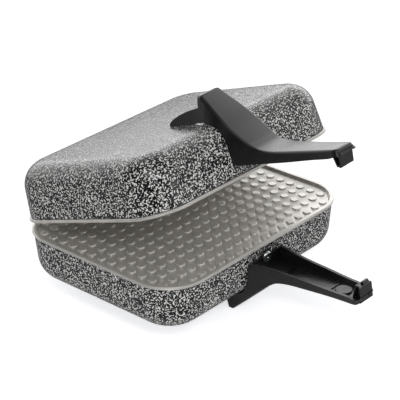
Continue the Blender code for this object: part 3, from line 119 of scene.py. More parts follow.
# Handles
GRIP_REACH = 0.111
FOOT_TUCK = 0.031
ROOT_REACH = 0.025
GRIP_DEPTHS = {"lower": 0.0223, "upper": 0.0190}
EDGE_DEPTHS = {"lower": 0.0141, "upper": 0.0120}
TIP_SHIFTS = {"lower": 0.0018, "upper": 0.0}
HANDLE_WIDTH = 0.037
ROOT_WIDTH = 0.048
HANDLE_WEB = 0.0034
CORNER_RADIUS = 0.004
HANDLE_CHEEK = 0.003
HANDLE_ROUND = 0.0007
TIP_ROUND = 0.0038
TIP_EDGE = 0.0018
TIP_WALL = 0.002
ROOT_EDGE_DEPTH = 0.0136
CHEEK_STANDOFF = 0.0016
FOOT_FLAT = 0.0036
ROOT_WALL = 0.0012
ROOT_STANDOFF = 0.0006
ROOT_WALL_BOTTOM = 0.038
SCREW_TAB_MARGIN = 0.0005
WING_LENGTH = 0.0385
WING_RECESS = 0.0004
WING_RECESS_END = 0.0080
WING_STEP = 0.0003
NUB_LENGTH = 0.0103
NUB_WIDTH = 0.0176
NUB_SHIFT = 0.0019
NUB_SETBACK = 0.0006
NUB_FACE_WIDTH = 0.0188
NUB_CORE_WIDTH = 0.0104
NUB_CAP = 0.0016
NUB_PLATE = 0.0014
NUB_TOP_LENGTH = 0.0062
NUB_TAPER = 0.0016
NUB_STEP = 0.0003
NUB_LAP = 0.0003
NUB_FLAT_DEPTHS = {"lower": 0.0056, "upper": 0.0026}
NUB_RIDGE_DEPTHS = {"lower": 0.0036, "upper": 0.0017}
NUB_RIDGE_WIDTH = 0.0080
NUB_RIDGE_SLOPE = 0.0026
PAD_RADIUS = 0.0080
PAD_RISE = 0.0014
PAD_CHAMFER = 0.0007
PAD_FROM_TIP = 0.0240
RIB_WIDTH = 0.0010
RIB_HEIGHT = 0.0010
RIB_FROM_PAD = 0.003
RIB_FROM_WALL = 0.020
CHANNEL_FLOOR = 0.0010
CHANNEL_FLOOR_DEPTH = 0.0262

# The handle's stations, whose numbers are shares of the named sizes above.

# Grip stations from the tip: along the reach to the rim, web depth and web width, then the edge's place
# along, its depth as shares of the grip's edge depth and of the root's, and its width, then the corner
# radius.
GRIP_SHARES = (
    (0.018, 0.000, 0.58, 0.000, 1.08, 0.00, 0.56, 0.5),
    (0.072, 0.000, 0.61, 0.063, 1.05, 0.00, 0.585, 0.6),
    (0.118, 0.002, 0.63, 0.108, 1.00, 0.00, 0.60, 0.7),
    (0.270, 0.010, 0.70, 0.270, 1.00, 0.00, 0.635, 0.9),
    (0.495, 0.030, 0.83, 0.495, 0.91, 0.05, 0.70, 0.9),
    (0.662, 0.050, 0.90, 0.679, 0.80, 0.15, 0.75, 0.7),
    (0.775, 0.098, 0.91, 0.836, 0.41, 0.52, 0.83, 0.5),
)

# Wall stations: along from the root's start to the foot, web depth and web width, then the edge's place
# down the shell's wall and its width, and the corner radius.
WALL_SHARES = (
    (0.118, 0.165, 0.94, 0.0, 1.00, 0.5),
    (0.211, 0.238, 0.97, 0.5, 1.00, 0.5),
)

# Fillet stations: along, web depth and web width, then the edge's place round the fillet, its stand-off and
# its width, and the corner radius.
FILLET_SHARES = (
    (0.425, 0.433, 0.99, 0.18, 0.6, 0.98, 0.5),
    (0.636, 0.650, 0.91, 0.60, 1.0, 0.92, 0.7),
    (0.848, 0.857, 0.81, 1.00, 1.0, 0.87, 1.0),
)

# The foot's station: along, web depth and web width, then the edge's width and the corner radius.
FOOT_SHARES = (1.0, 1.0, 0.72, 0.83, 1.0)

# Wing stations from the foot to the tip: along the wing, and height as a share of the foot's height.
WING_SHARES = (
    (-0.07, 0.68),
    (0.03, 0.585),
    (0.25, 0.53),
    (0.50, 0.45),
    (0.75, 0.33),
    (0.92, 0.21),
    (1.00, 0.08),
)

# Hinge
KNUCKLE_RADIUS = 0.0075
KNUCKLE_FRONT = math.radians(140)
KNUCKLE_REAR = math.radians(380)
PIN_RADIUS = 0.004
PIN_BORE = 0.0027
KNUCKLE_GAP = 0.0006
INNER_KNUCKLE_START = 0.012
KNUCKLE_LENGTH = 0.015
PIN_END = 0.0045
CLIP_THICKNESS = 0.001
CLIP_RIM = 0.0018
CLIP_EARS = 3
BRACKET_HALF = 0.056
BRACKET_PLATE = 0.005
BRACKET_TOP = 0.007
BRACKET_BOTTOM = 0.026
BRACKET_ROUND = 0.0007
ARM_ROOT = 0.0235
ARM_STEP = 0.0003
LEG_STEP = 0.0003
LEG_WIDTH = 0.020
LEG_TOP = 0.020
LEG_LENGTH = 0.018
LEG_KNEE_DEPTH = 0.042
FOOT_PAD = 0.0027
FOOT_PAD_MARGIN = 0.002

# Screws
SCREW_RADIUS = 0.002
SCREW_HEAD_RADIUS = 0.0057
SCREW_HEAD_HEIGHT = 0.0029
SCREW_TIP = 0.008
SCREW_POINT_SHARE = 0.6
HEAD_SEAT_SHARE = 0.97
HEAD_LIP_SHARE = 0.15
HEAD_SIDE_SHARE = 0.3
HEAD_SQUARENESS = 0.6
CROSS_WIDTH = 0.0013
CROSS_LENGTH = 0.0060
CROSS_DEPTH = 0.0020
CROSS_TURN = math.radians(25)
HANDLE_SCREW_DEPTH = 0.0147
BRACKET_SCREW_X = 0.049
BRACKET_SCREW_DEPTH = 0.0158

# Inlet
INLET_Y = 0.040
INLET_DEPTH = 0.021
INLET_FLANGE_LENGTH = 0.036
INLET_FLANGE_HEIGHT = 0.021
INLET_FLANGE = 0.0014
INLET_BODY_LENGTH = 0.028
INLET_BODY_HEIGHT = 0.018
INLET_BODY_REACH = 0.021
INLET_WALL = 0.002
INLET_FLOOR = 0.003
INLET_ROUND = 0.003
INLET_EDGE = 0.0003
INLET_PIN_RADIUS = 0.0012
INLET_PIN_SPACING = 0.007
INLET_PIN_RECESS = 0.006
INLET_PIN_ROUND = 0.7
INLET_TAIL = 0.005

# Link leads
LEAD_RADIUS = 0.0021
LEAD_X = 0.064
LEAD_DEPTH = 0.018
LEAD_STRAIGHT = 0.010
LEAD_BEND_DEPTH = 0.006
GROMMET_RADIUS = 0.0056
GROMMET_NECK = 0.0037
GROMMET_BORE = 0.0026
GROMMET_FLANGE = 0.0012
GROMMET_CLEARANCE = 0.0005

# Points of a lead's straight part, as shares of its length outwards from the wall.
LEAD_SHARES = (-1, -0.5, 0, 0.3, 0.6)

# Fineness of the meshes
CORNER_SEGMENTS = 20
FILLET_STEPS = 14
STUD_SEGMENTS = 20
STATION_STEPS = 5
ROUND_SEGMENTS = 32
ARC_STEPS = 6
HEAD_STEPS = 7
INLET_SEGMENTS = 6
INLET_EDGE_SEGMENTS = 2
INLET_PIN_SEGMENTS = 20
LEAD_STEPS = 6
LEAD_RING_STEPS = 4
EDGE_SEGMENTS = 3

# Finishes: scales are waves along a metre, edges are the two levels of a pattern between which its colour
# turns, roughness runs from one value to another, and a relief is a height. The specks' noise has its
# detail, roughness and distortion.
SPECK_NOISE = (0.6, 0.4, 0.5)
# Levels where the enamel turns from its dark ground to its pale specks, which are partly painted glints.
SPECK_AND_GLINT_EDGES = (0.55, 0.592)
SPECK_RELIEF = 0.0003
ENAMEL_ROUGHNESS = (0.10, 0.22)
ENAMEL_CLOUD_SHARE = 1 / 3
ENAMEL_IOR = 1.5
CASTING_GRAIN = 1400
CASTING_CLOUD = 60
CASTING_SHADE = 0.86
CASTING_EDGES = (0.3, 0.7)
CASTING_ROUGHNESS = (0.36, 0.46)
CASTING_RELIEF = 0.00006
CASTING_METALLIC = 0.72
MOULDING_GRAIN = 2600
MOULDING_CLOUD = 35
MOULDING_TINT = 1.25
MOULDING_EDGES = (0.35, 0.65)
MOULDING_ROUGHNESS = (0.24, 0.32)
MOULDING_RELIEF = 0.00003
MOULDING_IOR = 1.62
METAL_SHADE = 0.82
METAL_EDGES = (0.35, 0.65)
METAL_RELIEF = 0.00003
MATT_TINT = 1.3
MATT_EDGES = (0.35, 0.7)
FINE_DETAIL = 3
SLEEVE_WEAVE = 1500
SLEEVE_COLOURS = ((0.74, 0.68, 0.55), (0.46, 0.40, 0.30))
SLEEVE_EDGES = (0.1, 0.7)
SLEEVE_ROUGHNESS = (0.65, 0.9)
SLEEVE_RELIEF = 0.0001

# Bright metals by slot: the material's name, its colour, its roughness, and the scale of the cloud that
# varies both.
METALS = {
    "zinc_steel": ("zinc_plate", (0.66, 0.68, 0.70), (0.18, 0.32), 300),
    "heater_sheath": ("heater_sheath", (0.20, 0.18, 0.17), (0.40, 0.60), 300),
    "reflector_sheet": ("reflector_sheet", (0.80, 0.80, 0.81), (0.15, 0.30), 120),
    "brass_contact": ("brass_contact", (0.78, 0.58, 0.25), (0.20, 0.35), 300),
}

# Matt surfaces by slot: the material's name, its colour, its roughness, and its grain's scale and height.
MATTS = {
    "black_rubber": ("black_rubber", (0.022, 0.022, 0.023), (0.72, 0.88), 900, 0.0001),
    "white_ceramic": ("glazed_ceramic", (0.72, 0.70, 0.64), (0.315, 0.385), 400, 0.00005),
}

# Studio
VIEW_AZIMUTH = math.radians(-47.81)
VIEW_ELEVATION = math.radians(27.14)
VIEW_ROLL = math.radians(-1.309)
CAMERA_PLACE = Vector((-0.9554, -0.83865, 0.7548))
LENS_MM = 139.25
SENSOR_MM = 36.0
FLOOR_SIZE = 6.0
FLOOR_TONE = 0.86
FLOOR_IN_GLOSS = 0.55
FLOOR_ROUGHNESS = 0.9
FLOOR_GLOW_COLOUR = (0.97, 0.975, 1)

# What the floor's glow adds to each kind of ray.
FLOOR_GLOW = (("Is Camera Ray", 0.70), ("Is Diffuse Ray", 0.50))

# The sky's brightness in gloss: its rise along x, y and z, its level between them, and its least.
SKY_SLANT = (1.50, 1.26, -0.75)
SKY_LEVEL = 0.66
SKY_LEAST = 0.02

# Soft lights, whose powers are settings: name, place and size.
LIGHTS = (
    ("key", Vector((-1.0, -0.5, 1.5)), 1.3),
    ("fill", Vector((0.3, -1.6, 0.7)), 1.0),
    ("glint", Vector((-0.86, -0.99, 1.05)), 0.22),
)

TIP_Y = -RIM_WIDTH / 2 - GRIP_REACH
OUTER_KNUCKLE_START = INNER_KNUCKLE_START + KNUCKLE_LENGTH + KNUCKLE_GAP
PIN_HALF = OUTER_KNUCKLE_START + KNUCKLE_LENGTH + PIN_END
SHARP_ANGLE = math.radians(32)
SIDES = ((-1, "left"), (1, "right"))

# A section of a handle: where its web lies and its half width, the same for the free edges of its cheeks,
# the radius of the corners between them, and where the web's inner face lies.
Section = namedtuple("Section", "web_y web_depth web_half edge_y edge_depth edge_half radius in_y in_depth")


# Frames of the two halves

def half_frames():
    """From each half's own frame to the world, with the lid at rest."""
    base = Matrix.Translation((0, CENTRE_Y, PARTING))
    swing = Matrix.Translation((0, HINGE_Y, 0)) @ Matrix.Rotation(-LID_OPEN, 4, "X")
    lid = base @ swing @ Matrix.Translation((0, -HINGE_Y, 0)) @ Matrix.Rotation(math.pi, 4, "Y")
    return {"lower": base, "upper": lid}


HALVES = half_frames()
BODIES = {"lower": "base", "upper": "lid"}


def at(x, y, depth):
    """A point of a half, from its depth below the parting plane."""
    return Vector((x, y, -depth))


def wall_inset(depth, offset=0.0):
    """How far inside the rim's edge the shell's wall lies at a depth, moved outwards by an offset."""
    lean = (depth - SHELL_TOP) * math.tan(SHELL_DRAFT)
    return SHELL_INSET + lean - offset / math.cos(SHELL_DRAFT)


def fillet_point(share, offset=0.0):
    """Inset and depth at a share of the turn from the shell's wall to its flat face."""
    depth = SHELL_FACE - SHELL_FILLET
    inset = wall_inset(depth) + SHELL_FILLET / math.cos(SHELL_DRAFT)
    angle = SHELL_DRAFT + (math.pi / 2 - SHELL_DRAFT) * share
    reach = SHELL_FILLET + offset
    return inset - reach * math.cos(angle), depth + reach * math.sin(angle)


def on_wall(side, along, depth, offset=0.0):
    """A frame on the shell's outer skin whose Z axis points straight out of the wall."""
    direction, length = {
        "front": (Vector((0, -1, 0)), RIM_WIDTH),
        "rear": (Vector((0, 1, 0)), RIM_WIDTH),
        "right": (Vector((1, 0, 0)), RIM_LENGTH),
    }[side]
    across = Vector((abs(direction.y), abs(direction.x), 0))
    outward = direction * math.cos(SHELL_DRAFT) + Vector((0, 0, -math.sin(SHELL_DRAFT)))
    origin = direction * (length / 2 - wall_inset(depth)) + across * along + Vector((0, 0, -depth))
    origin += outward * offset
    turn = Matrix((across, outward.cross(across), outward)).transposed().to_4x4()
    return Matrix.Translation(origin) @ turn


def front_y(depth, offset):
    """The y of the front wall's outer skin at a depth, moved outwards."""
    return -RIM_WIDTH / 2 + wall_inset(depth, offset)


def rear_y(depth, offset):
    """The y of the rear wall's outer skin at a depth, moved outwards."""
    return RIM_WIDTH / 2 - wall_inset(depth, offset)


def between(a, b, c, d, t):
    """A number on the smooth curve from b to c whose neighbours are a and d."""
    slope = (c - a) * t
    bend = (2 * a - 5 * b + 4 * c - d) * t**2
    twist = (3 * b - a - 3 * c + d) * t**3
    return (2 * b + slope + bend + twist) / 2


def smooth_rows(rows, steps):
    """Rows of numbers with more rows laid between them on a smooth curve."""
    first = [2 * a - b for a, b in zip(rows[0], rows[1])]
    last = [2 * a - b for a, b in zip(rows[-1], rows[-2])]
    ends = [first, *rows, last]
    result = []
    for four in zip(ends, ends[1:], ends[2:], ends[3:]):
        for step in range(steps):
            result.append([between(*numbers, step / steps) for numbers in zip(*four)])
    result.append(list(rows[-1]))
    return result


# Mesh helpers

def close_up(bm):
    """Fills what is open, merges doubles and turns the faces outwards."""
    bmesh.ops.remove_doubles(bm, verts=bm.verts, dist=MERGE_DISTANCE)
    bmesh.ops.holes_fill(bm, edges=[edge for edge in bm.edges if edge.is_boundary], sides=0)
    bmesh.ops.recalc_face_normals(bm, faces=bm.faces)


def begin_face(bm, points):
    """A first face through a few points."""
    return bm.faces.new([bm.verts.new(point) for point in points])


def push_face(bm, face, points):
    """Extrudes a face and lays its corners on new points."""
    grown = bmesh.ops.extrude_discrete_faces(bm, faces=[face])["faces"][0]
    for corner, point in zip(grown.verts, points):
        corner.co = point
    return grown


def swept(bm, rings):
    """A closed solid through rings of equal length."""
    face = begin_face(bm, rings[0])
    for ring in rings[1:]:
        face = push_face(bm, face, ring)


def slab(bm, outline, shift):
    """A flat outline extruded along a straight line."""
    face = begin_face(bm, outline)
    grown = bmesh.ops.extrude_face_region(bm, geom=[face])["geom"]
    moved = [item for item in grown if isinstance(item, bmesh.types.BMVert)]
    bmesh.ops.translate(bm, verts=moved, vec=shift)


def box(bm, low, high, place=None):
    """A box between two corners."""
    size = high - low
    shape = Matrix.Translation((low + high) / 2) @ Matrix.Diagonal((*size, 1))
    bmesh.ops.create_cube(bm, size=1, matrix=(place or Matrix()) @ shape)


def spun(bm, profile, place, segments=ROUND_SEGMENTS):
    """A profile of radius and height pairs turned about a frame's Z axis."""
    corners = [bm.verts.new(place @ Vector((radius, 0, height))) for radius, height in profile]
    edges = [bm.edges.new(pair) for pair in zip(corners, corners[1:])]
    axis = place.to_3x3() @ Vector((0, 0, 1))
    bmesh.ops.spin(
        bm, geom=corners + edges, cent=place.translation, axis=axis,
        angle=math.tau, steps=segments, use_merge=True,
    )


def bevel_edges(bm, edges, offset, segments):
    """Bevels some edges with the named settings, which differ from the operator's own."""
    bmesh.ops.bevel(
        bm, geom=edges, offset=offset, affect="EDGES", segments=segments, profile=0.5, material=-1,
        clamp_overlap=True,
    )


def to_mesh(name, bm):
    """A mesh from a bmesh, which is freed."""
    mesh = bpy.data.meshes.new(name)
    bm.to_mesh(mesh)
    bm.free()
    return mesh


def cut_away(mesh, cutters):
    """A mesh with the cutters' shapes taken away."""
    scene = bpy.context.scene.collection
    body = bpy.data.objects.new(mesh.name, mesh)
    scene.objects.link(body)
    spent = [body]
    for cutter in cutters:
        tool = bpy.data.objects.new("tool", cutter)
        scene.objects.link(tool)
        spent.append(tool)
        step = body.modifiers.new("cut", "BOOLEAN")
        step.operation = "DIFFERENCE"
        step.object = tool
    graph = bpy.context.evaluated_depsgraph_get()
    result = bpy.data.meshes.new_from_object(body.evaluated_get(graph))
    for item in spent:
        bpy.data.objects.remove(item)
    return result


def show(name, mesh, half, slot, nodes, rounding=0.0, segments=EDGE_SEGMENTS):
    """Puts a finished piece in place of the frame's nodes, and lets it ride on its half's body."""
    mesh.transform(HALVES[half])
    mesh.shade_smooth()
    mesh.set_sharp_from_angle(angle=SHARP_ANGLE)
    mesh.materials.clear()
    mesh.materials.append(finish(slot))
    piece = bpy.data.objects.new(name, mesh)
    bpy.context.scene.collection.objects.link(piece)
    if rounding:
        bevel = piece.modifiers.new("Rounded edges", "BEVEL")
        bevel.width = rounding
        bevel.segments = segments
        bevel.limit_method = "ANGLE"
        bevel.angle_limit = SHARP_ANGLE
        bevel.harden_normals = False
    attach(piece, BODIES[half])
    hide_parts(*nodes)


# Material helpers

def add_node(tree, kind, sockets=None, operation=None):
    """A node with its sockets set. An output of another node is linked, and anything else is a value."""
    node = tree.nodes.new(f"ShaderNode{kind}")
    if operation:
        node.operation = operation
    for socket, value in (sockets or {}).items():
        if isinstance(value, bpy.types.NodeSocket):
            tree.links.new(value, node.inputs[socket])
        else:
            node.inputs[socket].default_value = value
    return node


def surface(name, sockets=None):
    """A material whose shader has some plain values, with its nodes."""
    material = bpy.data.materials.new(name)
    material.use_nodes = True
    shader = material.node_tree.nodes["Principled BSDF"]
    for socket, value in (sockets or {}).items():
        shader.inputs[socket].default_value = value
    return material, material.node_tree


def pattern_place(tree):
    """The object coordinates that a finish's patterns follow."""
    return add_node(tree, "TexCoord").outputs["Object"]


def noise(tree, place, scale, detail=2.0, roughness=0.5, distortion=0.0):
    """A noise pattern."""
    sockets = {"Vector": place, "Scale": scale, "Detail": detail}
    sockets.update({"Roughness": roughness, "Distortion": distortion})
    return add_node(tree, "TexNoise", sockets).outputs["Fac"]


def tinted(colour, factor):
    """A colour made lighter or darker by a factor."""
    return tuple(min(1.0, part * factor) for part in colour)


def tone_by(tree, pattern, edges, colours):
    """Colours the shader by a pattern, from one colour to another between two of its levels."""
    node = add_node(tree, "ValToRGB", {"Fac": pattern})
    for element, level, colour in zip(node.color_ramp.elements, edges, colours):
        element.position = level
        element.color = (*colour, 1)
    tree.links.new(node.outputs["Color"], tree.nodes["Principled BSDF"].inputs["Base Color"])


def roughen_by(tree, pattern, roughness):
    """Varies the shader's roughness from one value to another by a pattern."""
    node = add_node(tree, "MapRange", {"Value": pattern, "To Min": roughness[0], "To Max": roughness[1]})
    tree.links.new(node.outputs["Result"], tree.nodes["Principled BSDF"].inputs["Roughness"])


def raise_by(tree, pattern, relief):
    """Raises the surface by a pattern, to a height."""
    node = add_node(tree, "Bump", {"Height": pattern, "Distance": relief})
    tree.links.new(node.outputs["Normal"], tree.nodes["Principled BSDF"].inputs["Normal"])


def enamel(looks):
    """Glossy near-black enamel with fine worm-like pale specks, partly the enamel's own specks and partly painted
    glints of light off its hammered surface.
    """
    material, tree = surface("speckled_enamel", {"IOR": ENAMEL_IOR})
    place = pattern_place(tree)
    specks = noise(tree, place, looks.speck_density, *SPECK_NOISE)
    # The pale speck colour is partly painted glints: reflections of bright light off a hammered surface, put into
    # the colour.
    tone_by(tree, specks, SPECK_AND_GLINT_EDGES, (looks.enamel_colour, looks.speck_and_glint_colour))
    roughen_by(tree, noise(tree, place, looks.speck_density * ENAMEL_CLOUD_SHARE), ENAMEL_ROUGHNESS)
    raise_by(tree, specks, SPECK_RELIEF)
    return material


def casting(looks):
    """A satin coated aluminium casting."""
    material, tree = surface("coated_casting", {"Metallic": CASTING_METALLIC})
    place = pattern_place(tree)
    grain = noise(tree, place, CASTING_GRAIN, FINE_DETAIL)
    colours = (tinted(looks.plate_colour, CASTING_SHADE), looks.plate_colour)
    tone_by(tree, noise(tree, place, CASTING_CLOUD), CASTING_EDGES, colours)
    roughen_by(tree, grain, CASTING_ROUGHNESS)
    raise_by(tree, grain, CASTING_RELIEF)
    return material


def moulding(looks):
    """Satin black heat-proof plastic with a fine grain."""
    material, tree = surface("black_moulding", {"IOR": MOULDING_IOR})
    place = pattern_place(tree)
    cloud = noise(tree, place, MOULDING_CLOUD)
    colours = (looks.handle_colour, tinted(looks.handle_colour, MOULDING_TINT))
    tone_by(tree, cloud, MOULDING_EDGES, colours)
    roughen_by(tree, cloud, MOULDING_ROUGHNESS)
    raise_by(tree, noise(tree, place, MOULDING_GRAIN), MOULDING_RELIEF)
    return material


def bright_metal(name, colour, roughness, scale):
    """A bright metal whose colour and gloss vary a little."""
    material, tree = surface(name, {"Metallic": 1.0})
    cloud = noise(tree, pattern_place(tree), scale, FINE_DETAIL)
    tone_by(tree, cloud, METAL_EDGES, (tinted(colour, METAL_SHADE), colour))
    roughen_by(tree, cloud, roughness)
    raise_by(tree, cloud, METAL_RELIEF)
    return material


def matt(name, colour, roughness, scale, relief):
    """A matt grainy surface, for rubber and ceramic."""
    material, tree = surface(name)
    grain = noise(tree, pattern_place(tree), scale, FINE_DETAIL)
    tone_by(tree, grain, MATT_EDGES, (colour, tinted(colour, MATT_TINT)))
    roughen_by(tree, grain, roughness)
    raise_by(tree, grain, relief)
    return material


def sleeving():
    """Woven glass-fibre sleeving in a fine crossed weave."""
    material, tree = surface("woven_sleeve")
    sockets = {"Vector": pattern_place(tree), "Scale": SLEEVE_WEAVE}
    weave = add_node(tree, "TexVoronoi", sockets).outputs["Distance"]
    tone_by(tree, weave, SLEEVE_EDGES, SLEEVE_COLOURS)
    roughen_by(tree, weave, SLEEVE_ROUGHNESS)
    raise_by(tree, weave, SLEEVE_RELIEF)
    return material


FINISHES = {}


def make_finish(slot):
    """A new finish for a material slot."""
    looks = bpy.context.scene.waffle_iron_looks
    if slot in METALS:
        return bright_metal(*METALS[slot])
    if slot in MATTS:
        return matt(*MATTS[slot])
    if slot == "glass_sleeve":
        return sleeving()
    return {"speckled_enamel": enamel, "cast_plate": casting, "black_plastic": moulding}[slot](looks)


def finish(slot):
    """The finish of a material slot, made once and shared by what wears it."""
    if slot not in FINISHES:
        FINISHES[slot] = make_finish(slot)
    return FINISHES[slot]


# Rounded outline of the plates and shells

def lay_ring(face, inset, depth):
    """Lays a face's corners on the rim's rounded outline, drawn in by an inset."""
    for corner in face.verts:
        x = math.copysign(RIM_LENGTH / 2 - RIM_CORNER, corner.co.x)
        y = math.copysign(RIM_WIDTH / 2 - RIM_CORNER, corner.co.y)
        centre = Vector((x, y))
        outward = (corner.co.xy - centre).normalized()
        corner.co = (*(centre + outward * (RIM_CORNER - inset)), -depth)


def turned_ring(bm, profile):
    """A closed solid of the rim's outline, from its inset and depth pairs."""
    stretch = Matrix.Diagonal((RIM_LENGTH / 2, RIM_WIDTH / 2, 1, 1))
    bmesh.ops.create_grid(bm, x_segments=1, y_segments=1, size=1, matrix=stretch)
    bmesh.ops.bevel(
        bm, geom=bm.verts[:], offset=RIM_CORNER, affect="VERTICES", segments=CORNER_SEGMENTS,
        profile=0.5, material=-1,
    )
    bm.faces.ensure_lookup_table()
    face = bm.faces[0]
    lay_ring(face, *profile[0])
    for inset, depth in profile[1:]:
        face = bmesh.ops.extrude_discrete_faces(bm, faces=[face])["faces"][0]
        lay_ring(face, inset, depth)


def shell_mesh():
    """One enamelled shell, with its wall, its rounded edge and its flat face."""
    lip = SHELL_TOP + RIM_ROUND / 2
    inner = [(wall_inset(SHELL_TOP, -SHELL_WALL), lip)]
    outer = [(wall_inset(SHELL_TOP), lip)]
    edge = [(wall_inset(SHELL_TOP, -inward), SHELL_TOP) for inward in (RIM_ROUND, RIM_ROUND / 3)]
    for step in range(FILLET_STEPS + 1):
        inner.append(fillet_point(step / FILLET_STEPS, -SHELL_WALL))
        outer.append(fillet_point(step / FILLET_STEPS))
    bm = bmesh.new()
    turned_ring(bm, inner[::-1] + edge + outer)
    close_up(bm)
    return to_mesh("shell", bm)


def plate_profile():
    """Inset and depth pairs of a plate, from under its spigot over the rim to its floor."""
    spigot = SHELL_INSET + SHELL_WALL + SPIGOT_CLEARANCE
    top = RIM_CLOSING_GAP
    groove = (RIM_HEIGHT + top) / 2 + RIM_GROOVE
    profile = [
        (spigot, PLATE_UNDERSIDE),
        (spigot, RIM_HEIGHT),
        (RIM_ROUND / 2, RIM_HEIGHT),
        (0, RIM_HEIGHT - RIM_ROUND / 2),
        (0, groove + RIM_GROOVE),
        (RIM_GROOVE, groove),
        (0, groove - RIM_GROOVE),
    ]
    rounds = (
        (0, top, RIM_OUTER_ROUND),
        (RIM_TOP_WIDTH, top, RIM_INNER_ROUND),
        (RIM_TOP_WIDTH + RIM_SLOPE, PLATE_FLOOR, RIM_FOOT_ROUND),
    )
    for inset, depth, shares in rounds:
        profile += [(inset + RIM_ROUND * inward, depth + RIM_ROUND * down) for inward, down in shares]
    return profile


def stud_places():
    """The centres of the studs: a square grid, where a whole stud fits inside the rim."""
    edge = RIM_TOP_WIDTH + RIM_SLOPE + STUD_BASE_RADIUS
    half_x = RIM_LENGTH / 2 - edge
    half_y = RIM_WIDTH / 2 - edge
    corner = RIM_CORNER - edge
    columns = int(half_x // STUD_PITCH)
    rows = int(half_y // STUD_PITCH)
    places = []
    for row in range(-rows, rows + 1):
        for column in range(-columns, columns + 1):
            x = column * STUD_PITCH
            y = row * STUD_PITCH
            beyond_x = max(0, abs(x) - half_x + corner)
            beyond_y = max(0, abs(y) - half_y + corner)
            if math.hypot(beyond_x, beyond_y) <= corner:
                places.append((x, y))
    return places


def stud_mesh():
    """One round stud with a softened top edge, standing on its own origin."""
    bm = bmesh.new()
    height = STUD_HEIGHT + STUD_ROOT
    bmesh.ops.create_cone(
        bm, cap_ends=True, segments=STUD_SEGMENTS, radius1=STUD_BASE_RADIUS, radius2=STUD_TOP_RADIUS,
        depth=height, matrix=Matrix.Translation((0, 0, height / 2 - STUD_ROOT)),
    )
    top = [edge for edge in bm.edges if all(vert.co.z > STUD_HEIGHT / 2 for vert in edge.verts)]
    bevel_edges(bm, top, STUD_ROUND, segments=1)
    return to_mesh("stud", bm)


def plate_mesh():
    """One plate with its rim and studs."""
    bm = bmesh.new()
    turned_ring(bm, plate_profile())
    close_up(bm)
    stud = stud_mesh()
    count = len(stud.vertices)
    for x, y in stud_places():
        bm.from_mesh(stud)
        bm.verts.ensure_lookup_table()
        bmesh.ops.translate(bm, verts=bm.verts[-count:], vec=at(x, y, PLATE_FLOOR))
    bpy.data.meshes.remove(stud)
    return to_mesh("plate", bm)


# Handles

def handle_stations(grip_depth, grip_edge):
    """A handle's sections from tip to foot as rows of numbers, still without the inner face of the web."""
    front = -RIM_WIDTH / 2
    start = front - ROOT_REACH
    slope = ROOT_REACH + FOOT_TUCK
    drop = STAND_DEPTH - grip_depth
    rows = []
    for along, depth, width, edge_along, edge_depth, root_share, edge_width, corner in GRIP_SHARES:
        edge = (TIP_Y + edge_along * GRIP_REACH, edge_depth * grip_edge + root_share * ROOT_EDGE_DEPTH)
        rows.append((TIP_Y + along * GRIP_REACH, depth, width, *edge, edge_width, corner))
    for along, depth, width, share, edge_width, corner in WALL_SHARES:
        edge_depth = ROOT_EDGE_DEPTH + share * (SHELL_FACE - SHELL_FILLET - ROOT_EDGE_DEPTH)
        edge = (front + wall_inset(edge_depth, TOUCH_GAP), edge_depth)
        rows.append((start + along * slope, depth, width, *edge, edge_width, corner))
    for along, depth, width, share, standoff, edge_width, corner in FILLET_SHARES:
        inset, edge_depth = fillet_point(share, standoff * CHEEK_STANDOFF)
        rows.append((start + along * slope, depth, width, front + inset, edge_depth, edge_width, corner))
    along, depth, width, edge_width, corner = FOOT_SHARES
    edge = (front + FOOT_TUCK, SHELL_FACE + CHEEK_STANDOFF)
    rows.append((start + along * slope, depth, width, *edge, edge_width, corner))
    sized = []
    for y, depth, width, edge_y, edge_depth, edge_width, corner in rows:
        web = (y, grip_depth + depth * drop, width * HANDLE_WIDTH / 2)
        sized.append((*web, edge_y, edge_depth, edge_width * ROOT_WIDTH / 2, corner * CORNER_RADIUS))
    return sized


def handle_sections(rows):
    """The sections of a handle, each with its web's inner face at the web's thickness."""
    sections = []
    for here, (web_y, web_depth, web_half, edge_y, edge_depth, *others) in enumerate(rows):
        before = rows[max(here - 1, 0)]
        after = rows[min(here + 1, len(rows) - 1)]
        run = Vector((after[0] - before[0], after[1] - before[1])).normalized()
        inner = (web_y + run.y * HANDLE_WEB, web_depth - run.x * HANDLE_WEB)
        if here == 0:
            lean = (edge_y - web_y) * HANDLE_WEB / (web_depth - edge_depth)
            inner = (web_y + lean, web_depth - HANDLE_WEB)
        if here == len(rows) - 1:
            inner = (web_y, web_depth - HANDLE_WEB / run.x)
        sections.append(Section(web_y, web_depth, web_half, edge_y, edge_depth, *others, *inner))
    return sections


def rounded_corner(before, corner, after, radius):
    """Points on an arc that replaces a corner."""
    into = (before - corner).normalized()
    out = (after - corner).normalized()
    half = into.angle(out) / 2
    setback = radius / math.tan(half)
    centre = corner + (into + out).normalized() * (radius / math.sin(half))
    first = (corner + into * setback - centre).normalized()
    last = (corner + out * setback - centre).normalized()
    return [centre + first.slerp(last, step / ARC_STEPS) * radius for step in range(ARC_STEPS + 1)]


def with_round_tip(sections):
    """The sections, with the first ones drawn in towards the tip's end in a round."""
    first = sections[0]
    result = []
    for step in range(ARC_STEPS):
        angle = math.pi / 2 * step / ARC_STEPS
        inward = 1 - math.sin(angle)
        along = TIP_ROUND * (1 - math.cos(angle))
        result.append(
            first._replace(
                web_y=first.web_y + along,
                web_depth=first.web_depth - TIP_EDGE * inward,
                web_half=first.web_half - TIP_ROUND * inward,
                edge_y=first.edge_y + along,
                edge_half=first.edge_half - TIP_ROUND * inward,
                in_y=first.in_y + along,
            )
        )
    return result + [section for section in sections if section.web_y > first.web_y + TIP_ROUND]


